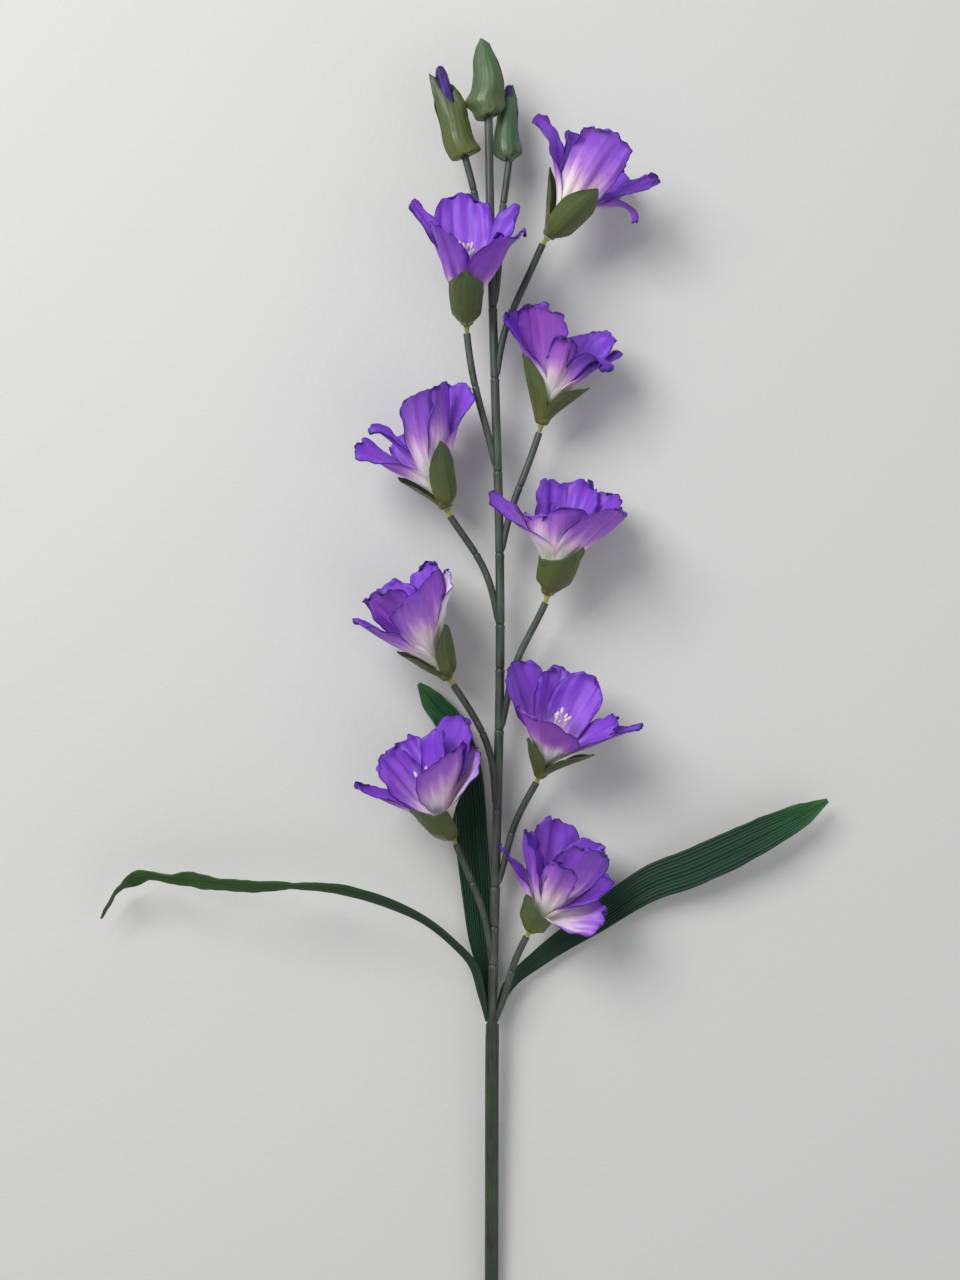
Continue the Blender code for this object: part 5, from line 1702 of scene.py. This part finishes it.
# The forms that several bracts, and one drawn-out petal, have in common
BRACT = dict(
    start=28.0, base=0.66, widest=0.48, tip=0.1, blunt=1.8, wrap=84.0, arch=0.02, roll=0.0, crease=0.6,
    scallop=0.0, end=Tip.POINTED,
)
WIDE_BRACT = dict(BRACT, start=68.0, ease=0.2)
SQUARE_BRACT = dict(WIDE_BRACT, widest=0.7, tip=0.75, blunt=3.0, slant=0.5)
SQUARE_BRACT_RIGHT = dict(SQUARE_BRACT, tip=0.5, slant=-0.4)
SHIELD_BRACT = dict(WIDE_BRACT, widest=0.72, tip=0.0, blunt=1.1)
HORN = dict(base=0.9, widest=0.3, tip=0.3, blunt=1.2, scallop=0.6, pale=0.3, end=Tip.POINTED)

# The open flowers, each petal set against its neighbours
BLOOMS = {
    "L1": Bloom(
        foot=(-17.2, 750.4, 42.0), lean=0.0, tilt=25.0,
        outer=(
            Blade(36, 76, 24, 31, 46, cup=45, wave=2.5, phase=1, tip=0.2, pale=-0.4),
            Blade(198, 84, 7.5, 20, 36, cup=60, wave=2, phase=0, twist=32, tip=0.7, widest=0.5),
            Blade(-28, 80, 11, 27, 8, cup=55, wave=3, phase=2, twist=-22),
        ),
        inner=(
            Blade(266, 84, 23.5, 22, 4, cup=40, wave=1.5, phase=0.5, scallop=0.6, slant=0.05),
            Blade(136, 73, 19, 19, 6, cup=55, wave=1, phase=2, slant=-0.1, pale=-0.4, scallop=0.4),
            Blade(350, 58, 15, 20, 10, cup=55, wave=2, phase=1),
        ),
        bracts=(
            Blade(92, 52, 13.5, 26, -8, cup=50, **SHIELD_BRACT),
            Blade(-78, 42, 12, 31, 0, cup=60, **BRACT),
        ),
    ),
    "R1": Bloom(
        foot=(38.9, 812.0, 38.0), lean=36.0, tilt=12.0,
        outer=(
            Blade(
                182, 78, 12, 46, 46, cup=55, wave=1.5, phase=1, twist=34, start=18, tip=0.75, widest=0.5
            ),
            Blade(286, 70, 20, 32, 10, cup=35, wave=3, phase=2),
            Blade(-6, 64, 11, 38, 140, cup=50, wave=1, phase=1, pale=0.35, tip=0.8),
        ),
        inner=(
            Blade(
                93, 82, 21.5, 19, 2, cup=45, slant=0.06, wave=2.5, phase=0, tip=0.4, widest=0.7,
                blunt=2.8, scallop=2.5, pale=0.25, tone=0.05,
            ),
            Blade(196, 66, 12, 26, 0, cup=60, wave=1.5, phase=2, twist=24, tip=0.7),
            Blade(-12, 78, 11, 30, 4, cup=55, wave=3, phase=1, twist=-14, tip=0.45),
        ),
        bracts=(
            Blade(68, 54, 13.5, 29, 0, cup=60, **WIDE_BRACT),
            Blade(198, 46, 12, 34, 0, cup=55, **BRACT),
        ),
    ),
    "R2": Bloom(
        foot=(34.7, 682.5, 31.5), lean=14.0, tilt=4.0,
        rests=True,
        outer=(
            Blade(166, 73, 23, 35, -6, cup=35, wave=1.5, phase=1, twist=56, tone=0.0),
            Blade(-8, 72, 18, 21, 4, cup=35, wave=2, phase=2, twist=-46, start=28),
            Blade(34, 66, 12, 31, 150, cup=50, wave=1.5, phase=0, tone=0.0),
            Blade(8, 67, 9, 40, 10, cup=60, wave=2, phase=1, tone=0.0),
        ),
        inner=(
            Blade(130, 78, 25, 26, 6, cup=42, wave=2.5, phase=1, scallop=3.0, tone=0.75),
            Blade(306, 70, 20, 25, 8, cup=35, wave=1, phase=3, blunt=2.0, scallop=0.5),
            Blade(
                84, 59, 13, 32, 0, cup=85, wave=0.8, phase=1, pale=0.4, tone=0.6, scallop=0.4, blunt=2.0
            ),
        ),
        bracts=(
            Blade(146, 50, 12, 29, 0, cup=60, **BRACT),
            Blade(24, 40, 12, 42, 0, cup=60, **BRACT),
        ),
    ),
    "L2": Bloom(
        foot=(-31.2, 623.7, 35.0), lean=-22.0, tilt=5.0,
        rests=True,
        outer=(
            Blade(-6, 80, 23, 33, -2, cup=40, wave=2, phase=1, twist=-40, blunt=2.0),
            Blade(262, 66, 20, 40, 10, cup=30, wave=2.5, phase=2),
            Blade(166, 68, 18, 39, -2, cup=30, wave=1.5, phase=0, start=30, twist=50, tip=0.5, blunt=3.0),
        ),
        inner=(
            Blade(
                64, 78, 21, 22, 2, cup=55, wave=1, phase=1, pale=0.3, tone=0.0, tip=0.7, blunt=2.6,
                widest=0.7,
            ),
            Blade(
                168, 71, 9, 20, 40, cup=50, wave=1, phase=3, twist=34, start=12, base=0.8, widest=0.84,
                tip=0.5,
            ),
            Blade(26, 80, 19, 24, 2, cup=55, wave=1, phase=1, pale=0.3, tone=0.0, blunt=2.6, tip=0.6),
        ),
        bracts=(
            Blade(66, 52, 12, 28, 0, cup=60, **WIDE_BRACT),
            Blade(212, 40, 11, 40, 0, cup=55, **BRACT),
        ),
    ),
    "R3": Bloom(
        foot=(38.9, 563.5, 36.0), lean=13.0, tilt=10.0,
        outer=(
            Blade(162, 80, 21, 54, 24, cup=40, wave=0.6, phase=1, twist=48, start=18, **HORN),
            Blade(286, 72, 20, 40, 10, cup=35, wave=3, phase=2),
            Blade(34, 80, 27, 37, 4, cup=45, wave=1.5, phase=0, slant=-0.12, pale=0.2, tone=0.35),
        ),
        inner=(
            Blade(
                112, 68, 30, 30, 6, cup=50, wave=1.2, phase=1, slant=0.3, pale=0.55, tone=0.4, base=0.75
            ),
            Blade(240, 74, 20, 20, 4, cup=55, wave=1.2, phase=3, blunt=1.9, scallop=0.5),
            Blade(284, 79, 19, 19, 4, cup=50, wave=2.5, phase=0, scallop=2.5),
            Blade(-34, 78, 21, 28, 6, cup=50, wave=2.5, phase=1),
        ),
        bracts=(
            Blade(80, 46, 16, 27, 0, cup=50, **SQUARE_BRACT),
            Blade(258, 38, 11, 32, 0, cup=55, **BRACT),
        ),
    ),
    "L3": Bloom(
        foot=(-29.8, 505.4, 34.0), lean=-33.0, tilt=12.0,
        outer=(
            Blade(
                10, 69, 25, 40, -8, cup=35, wave=1.2, phase=1, pale=1.2, tone=0.0, twist=-14, blunt=2.0,
                scallop=0.5,
            ),
            Blade(262, 74, 20, 20, 5, cup=40, wave=2.5, phase=2, scallop=2.5),
            Blade(162, 73, 19, 27, -2, cup=45, wave=1.5, phase=0, twist=16),
        ),
        inner=(
            Blade(
                60, 71, 28, 26, 0, cup=26, wave=1, phase=1, slant=0.08, pale=0.45, blunt=3.6, tip=0.85,
                widest=0.74, scallop=0.5,
            ),
            Blade(126, 76, 23, 12, 2, cup=45, wave=2, phase=3, tone=0.6, start=18),
            Blade(-34, 75, 23, 32, 0, cup=45, wave=2, phase=1),
        ),
        bracts=(
            Blade(48, 44, 12, 29, 0, cup=60, **WIDE_BRACT),
            Blade(190, 38, 12, 25, 0, cup=55, **BRACT),
        ),
    ),
    "R4": Bloom(
        foot=(33.3, 436.8, 30.0), lean=20.0, tilt=28.0,
        outer=(
            Blade(
                206, 75, 28, 44, 0, cup=40, wave=1.4, phase=1, crease=3.5, tip=0.35, blunt=1.9,
                scallop=0.4,
            ),
            Blade(6, 80, 9, 45, 0, cup=60, wave=1, phase=3, tip=0.35),
            Blade(
                111, 68, 30, 31, 10, cup=24, wave=1.2, phase=0, tone=0.85, base=0.3, tip=0.3, blunt=1.5,
                widest=0.66, slant=0.2, scallop=0.5,
            ),
        ),
        inner=(
            Blade(246, 70, 20, 29, 0, cup=55, wave=0.6, phase=1, blunt=1.9, scallop=0.4),
            Blade(290, 72, 21, 22, 0, cup=56, wave=0.6, phase=2, blunt=1.9, scallop=0.4, tone=0.3),
            Blade(8, 68, 14, 33, 0, cup=35, wave=2, phase=1, twist=-30),
        ),
        bracts=(
            Blade(140, 38, 11, 29, 0, cup=60, **BRACT),
            Blade(34, 52, 9.5, 40, 0, cup=60, **BRACT),
        ),
    ),
    "L4": Bloom(
        foot=(-27.0, 393.4, 28.0), lean=-24.0, tilt=22.0,
        outer=(
            Blade(8, 64, 20, 46, -8, cup=35, wave=0.8, phase=1, pale=0.9, tone=0.0, twist=-20),
            Blade(262, 70, 20, 34, 10, cup=35, wave=3, phase=2),
            Blade(
                166, 77, 13, 36, 0, cup=50, wave=1.5, phase=3, twist=26, tip=0.3, widest=0.42, blunt=1.5
            ),
        ),
        inner=(
            Blade(
                50, 74, 31, 27, 4, cup=36, wave=1.2, phase=0, pale=0.6, tone=0.4, blunt=3.0, tip=0.7,
                widest=0.7, scallop=0.6, slant=-0.13,
            ),
            Blade(
                214, 69, 24, 20, 4, cup=38, wave=1.2, phase=2, blunt=1.9, tone=0.5, pale=0.3, scallop=0.4
            ),
            Blade(-30, 79, 29, 38, -2, cup=40, wave=1.5, phase=1, blunt=2.0, scallop=0.6),
            Blade(318, 70, 16, 16, 10, cup=70, wave=1.5, phase=0, lip=60),
        ),
        bracts=(
            Blade(110, 52, 13, 25, 0, cup=55, **SQUARE_BRACT_RIGHT),
            Blade(278, 38, 10, 36, 0, cup=55, **BRACT),
        ),
    ),
    "R5": Bloom(
        foot=(27.0, 328.3, 28.0), lean=28.0, tilt=22.0,
        outer=(
            Blade(170, 66, 9, 54, 10, cup=60, wave=2, phase=1),
            Blade(
                100, 68, 15, 23, 0, cup=60, wave=1, phase=1, start=18, pale=0.45, tone=0.4, blunt=2.4,
                tip=0.5, scallop=0.4,
            ),
            Blade(236, 72, 24, 31, 0, cup=40, wave=1.2, phase=2, blunt=2.0, scallop=0.6),
            Blade(18, 50, 22, 52, 0, cup=40, wave=1, phase=0, start=44, twist=-34, pale=0.75, blunt=2.0),
            Blade(-2, 63, 14, 29, 4, cup=45, wave=1.5, phase=2, twist=-24, blunt=2.0),
        ),
        inner=(
            Blade(176, 70, 16, 32, 0, cup=70, wave=3, phase=3, crease=4.0, end=Tip.POINTED),
            Blade(
                68, 83, 25, 12, 0, cup=42, wave=1, phase=1, start=18, blunt=1.9, pale=0.25, tone=0.0,
                scallop=0.4,
            ),
            Blade(300, 70, 20, 24, 8, cup=60, wave=1.8, phase=2, blunt=2.0, scallop=0.5),
        ),
        bracts=(
            Blade(108, 38, 14, 26, 0, cup=50, **SQUARE_BRACT_RIGHT),
            Blade(262, 38, 11, 34, 0, cup=55, **BRACT),
        ),
    ),
}

# The three buds at the top
BUDS = {
    "left": Bud(
        foot=(-18.6, 868.0, 40.0), lean=-16.0, tilt=3.0,
        bag=Bag(
            left=((-4.0, -1.0), (-9.0, -0.6), (-10.9, 4.0), (-10.3, 28.0), (-9.3, 50.0), (-8.4, 61.0)),
            right=(
                (3.6, -0.4), (8.0, 0.2), (11.2, 1.0), (9.4, 9.0), (9.5, 23.0), (9.6, 40.0), (6.0, 48.6)
            ),
            bulge=8.0,
        ),
        dip=13.0,
        petal=(64.0, 5.2),
    ),
    "top": Bud(
        foot=(-2.3, 896.3, 38.0), lean=-2.0, tilt=2.0,
        bag=Bag(
            left=(
                (-3.6, -2.6), (-7.8, -2.6), (-11.0, 3.6), (-15.6, 8.2), (-11.2, 17.0), (-9.0, 28.0),
                (-8.1, 43.0), (-3.6, 53.6),
            ),
            right=(
                (3.0, 0.0), (9.4, 3.0), (11.6, 7.0), (11.4, 13.0), (11.3, 26.0), (5.6, 41.0), (2.4, 49.4)
            ),
            bulge=9.0,
        ),
        cool=0.4,
    ),
    "right": Bud(
        foot=(12.4, 869.0, 28.0), lean=0.0, tilt=0.0,
        bag=Bag(
            left=(
                (-3.0, -0.6), (-7.0, 0.4), (-11.6, 5.0), (-11.0, 14.0), (-8.0, 28.0), (-5.0, 42.0),
                (-2.6, 50.4),
            ),
            right=(
                (1.0, -2.6), (3.4, 0.0), (8.4, 4.2), (7.0, 14.0), (5.6, 27.0), (5.6, 42.0), (2.4, 52.4)
            ),
            bulge=8.0,
        ),
        dip=3.0,
        petal=(52.0, 4.2),
        cool=0.6,
    ),
}

# The side branches, by the flower or bud that each one carries
BRANCHES = {
    "L1": Branch(651.0, 150.0, ((-0.9, 672.0, 33.5), (-7.4, 691.6, 35.5), (-13.0, 714.0, 37.5)), 0.62),
    "R1": Branch(715.0, 10.0, ((6.9, 745.5, 34.6), (14.4, 762.3, 35.4), (27.0, 787.0, 36.6)), 0.5),
    "R2": Branch(593.0, 5.0, ((11.1, 617.8, 30.5), (20.2, 640.5, 32.5)), 0.55),
    "L2": Branch(543.5, 170.0, ((1.0, 568.4, 29.0), (-13.6, 597.8, 32.0)), 0.62),
    "R3": Branch(469.0, 15.0, ((11.6, 492.8, 27.5), (16.2, 518.0, 30.5)), 0.5),
    "L3": Branch(414.0, 160.0, ((1.2, 450.1, 26.5), (-8.8, 473.9, 29.5)), 0.58),
    "R4": Branch(358.5, 20.0, ((7.4, 366.0, 21.5), (12.7, 393.4, 22.6), (24.2, 420.0, 24.4)), 0.5),
    "L4": Branch(303.5, 155.0, ((-1.7, 329.7, 21.5), (-6.0, 343.7, 22.8), (-17.5, 371.0, 25.5)), 0.68),
    "R5": Branch(262.0, 25.0, ((6.9, 271.6, 19.0), (13.7, 299.6, 22.5)), 0.6),
    "bud_left": Branch(790.0, 165.0, ((-5.6, 806.0, 36.6), (-11.9, 844.2, 38.6)), 0.7),
    "bud_right": Branch(764.5, -25.0, ((5.2, 791.0, 33.4), (6.6, 830.0, 31.0)), 0.7),
}

# The three leaves that stand on the stem's rim
LEAVES = {
    "left": Leaf(
        points=(
            (-2.9, 262.0, 15.8), (-6.6, 282.0, 18.5), (-12.3, 303.1, 23.0), (-27.7, 321.3, 29.0),
            (-45.9, 336.7, 35.0), (-66.9, 347.9, 40.0), (-100.5, 359.1, 45.0), (-138.3, 362.6, 46.0),
            (-175.4, 362.6, 43.0), (-213.2, 365.4, 36.0), (-254.5, 362.6, 26.0), (-263.6, 353.5, 22.0),
            (-277.6, 336.0, 14.0),
        ),
        half_widths=(1.9, 4.4, 5.6, 6.5, 8.0, 9.0, 10.0, 10.5, 11.0, 11.0, 8.0, 4.0, 0.8),
        rolls=(58, 50, 54, 60, 62, 60, 62, 70, 62, 54, 58, 74, 74),
        fold=0.10,
        bright=0.85,
    ),
    "middle": Leaf(
        points=(
            (-1.9, 262.5, 11.6), (-3.5, 290.5, 10.4), (-8.0, 322.0, 9.0), (-10.5, 353.5, 8.0),
            (-13.7, 385.0, 7.5), (-15.8, 416.5, 7.5), (-19.5, 444.5, 8.0), (-31.0, 474.6, 9.0),
            (-43.0, 490.0, 11.0), (-51.5, 501.2, 13.0),
        ),
        half_widths=(1.8, 5.0, 8.5, 10.5, 11.3, 11.3, 11.0, 10.0, 7.5, 0.8),
        rolls=(0, 0, 5, 5, 0, -5, -8, -10, 0, 10),
        fold=0.12,
    ),
    "right": Leaf(
        points=(
            (3.0, 261.5, 12.0), (11.5, 285.6, 10.6), (35.5, 307.5, 10.5), (74.0, 333.8, 11.5),
            (113.8, 360.5, 15.5), (140.4, 371.0, 19.5), (165.6, 382.9, 22.5), (190.0, 394.8, 23.5),
            (220.0, 409.5, 21.0), (237.7, 418.6, 18.0),
        ),
        half_widths=(1.6, 4.2, 6.6, 9.6, 12.6, 13.3, 13.0, 12.0, 8.0, 0.8),
        rolls=(-20, -15, -10, -5, 0, 5, 8, 5, 0, 0),
        fold=0.12,
    ),
}


@dataclass(frozen=True)
class Studio:
    """A pale table top, soft light and a camera that looks straight down."""

    look_at: Triple = (-8.05, 532.0, 30.0)
    camera_height: float = 1289.0
    lens: float = 50.6
    table_colour: str = "#C8C8C5"
    table_half_width: float = 4.0

    def table(self) -> None:
        """Lay the table top, whose paint is rolled on and so finely dimpled."""
        made = Finish("rolled_wall_paint")
        dimples = made.node("ShaderNodeTexNoise", {"Vector": made.coords, "Scale": 260.0, "Detail": 3.0})
        relief = made.reliefs((dimples, 0.25, 0.001))
        paint = {"Base Color": linear(self.table_colour), "Roughness": 0.9, "Normal": relief}
        mesh = bpy.data.meshes.new("table_top")
        half = self.table_half_width
        corners = [(-half, -half, 0), (half, -half, 0), (half, half, 0), (-half, half, 0)]
        mesh.from_pydata(corners, [], [(0, 1, 2, 3)])
        mesh.materials.append(made.finished(paint))
        floor = bpy.data.objects.new("table_top", mesh)
        bpy.context.scene.collection.objects.link(floor)

    def light(self, name: str, place: Triple, size: float, power: float) -> None:
        """Hang a soft square lamp that faces the middle of the stem."""
        lamp = bpy.data.lights.new(name, "AREA")
        lamp.shape, lamp.size, lamp.energy = "SQUARE", size, power
        obj = bpy.data.objects.new(name, lamp)
        obj.location = place
        obj.rotation_euler = (-obj.location).to_track_quat("-Z", "Y").to_euler()
        bpy.context.scene.collection.objects.link(obj)

    def build(self, shift: np.ndarray) -> None:
        """Build the table, the lamps and the camera.

        Args:
            shift: the stem frame's place in the row's frame, in millimetres.
        """
        self.table()
        self.light("window_lamp", (-1.2, 1.3, 1.9), size=1.4, power=58.0)
        self.light("fill_lamp", (1.6, -0.9, 1.8), size=2.2, power=9.0)
        world = bpy.data.worlds.new("soft_room")
        world.use_nodes = True
        background = world.node_tree.nodes["Background"]
        background.inputs["Color"].default_value = linear("#F4F6FA")
        background.inputs["Strength"].default_value = 0.5
        scene = bpy.context.scene
        scene.world = world
        scene.view_settings.view_transform = "Standard"
        lens = bpy.data.cameras.new("camera")
        lens.lens = self.lens
        camera = bpy.data.objects.new("camera", lens)
        x, y, _ = (np.array(self.look_at) + shift) * MM
        camera.location = (x, y, self.camera_height * MM)
        scene.collection.objects.link(camera)
        scene.camera = camera


def main() -> None:
    """Build the looks of the stem, piece by piece."""
    logging.basicConfig(level=logging.INFO, format="%(name)s: %(message)s")
    shop = Workshop()
    LowerStem().build(shop)
    UpperStalk().build(shop)
    for key, leaf in LEAVES.items():
        leaf.build(shop, key)
    for key, bloom in BLOOMS.items():
        bloom.build(shop, key)
    for key, bud in BUDS.items():
        bud.build(shop, key)
    Studio().build(shop.shift)


if __name__ == "__main__":
    main()
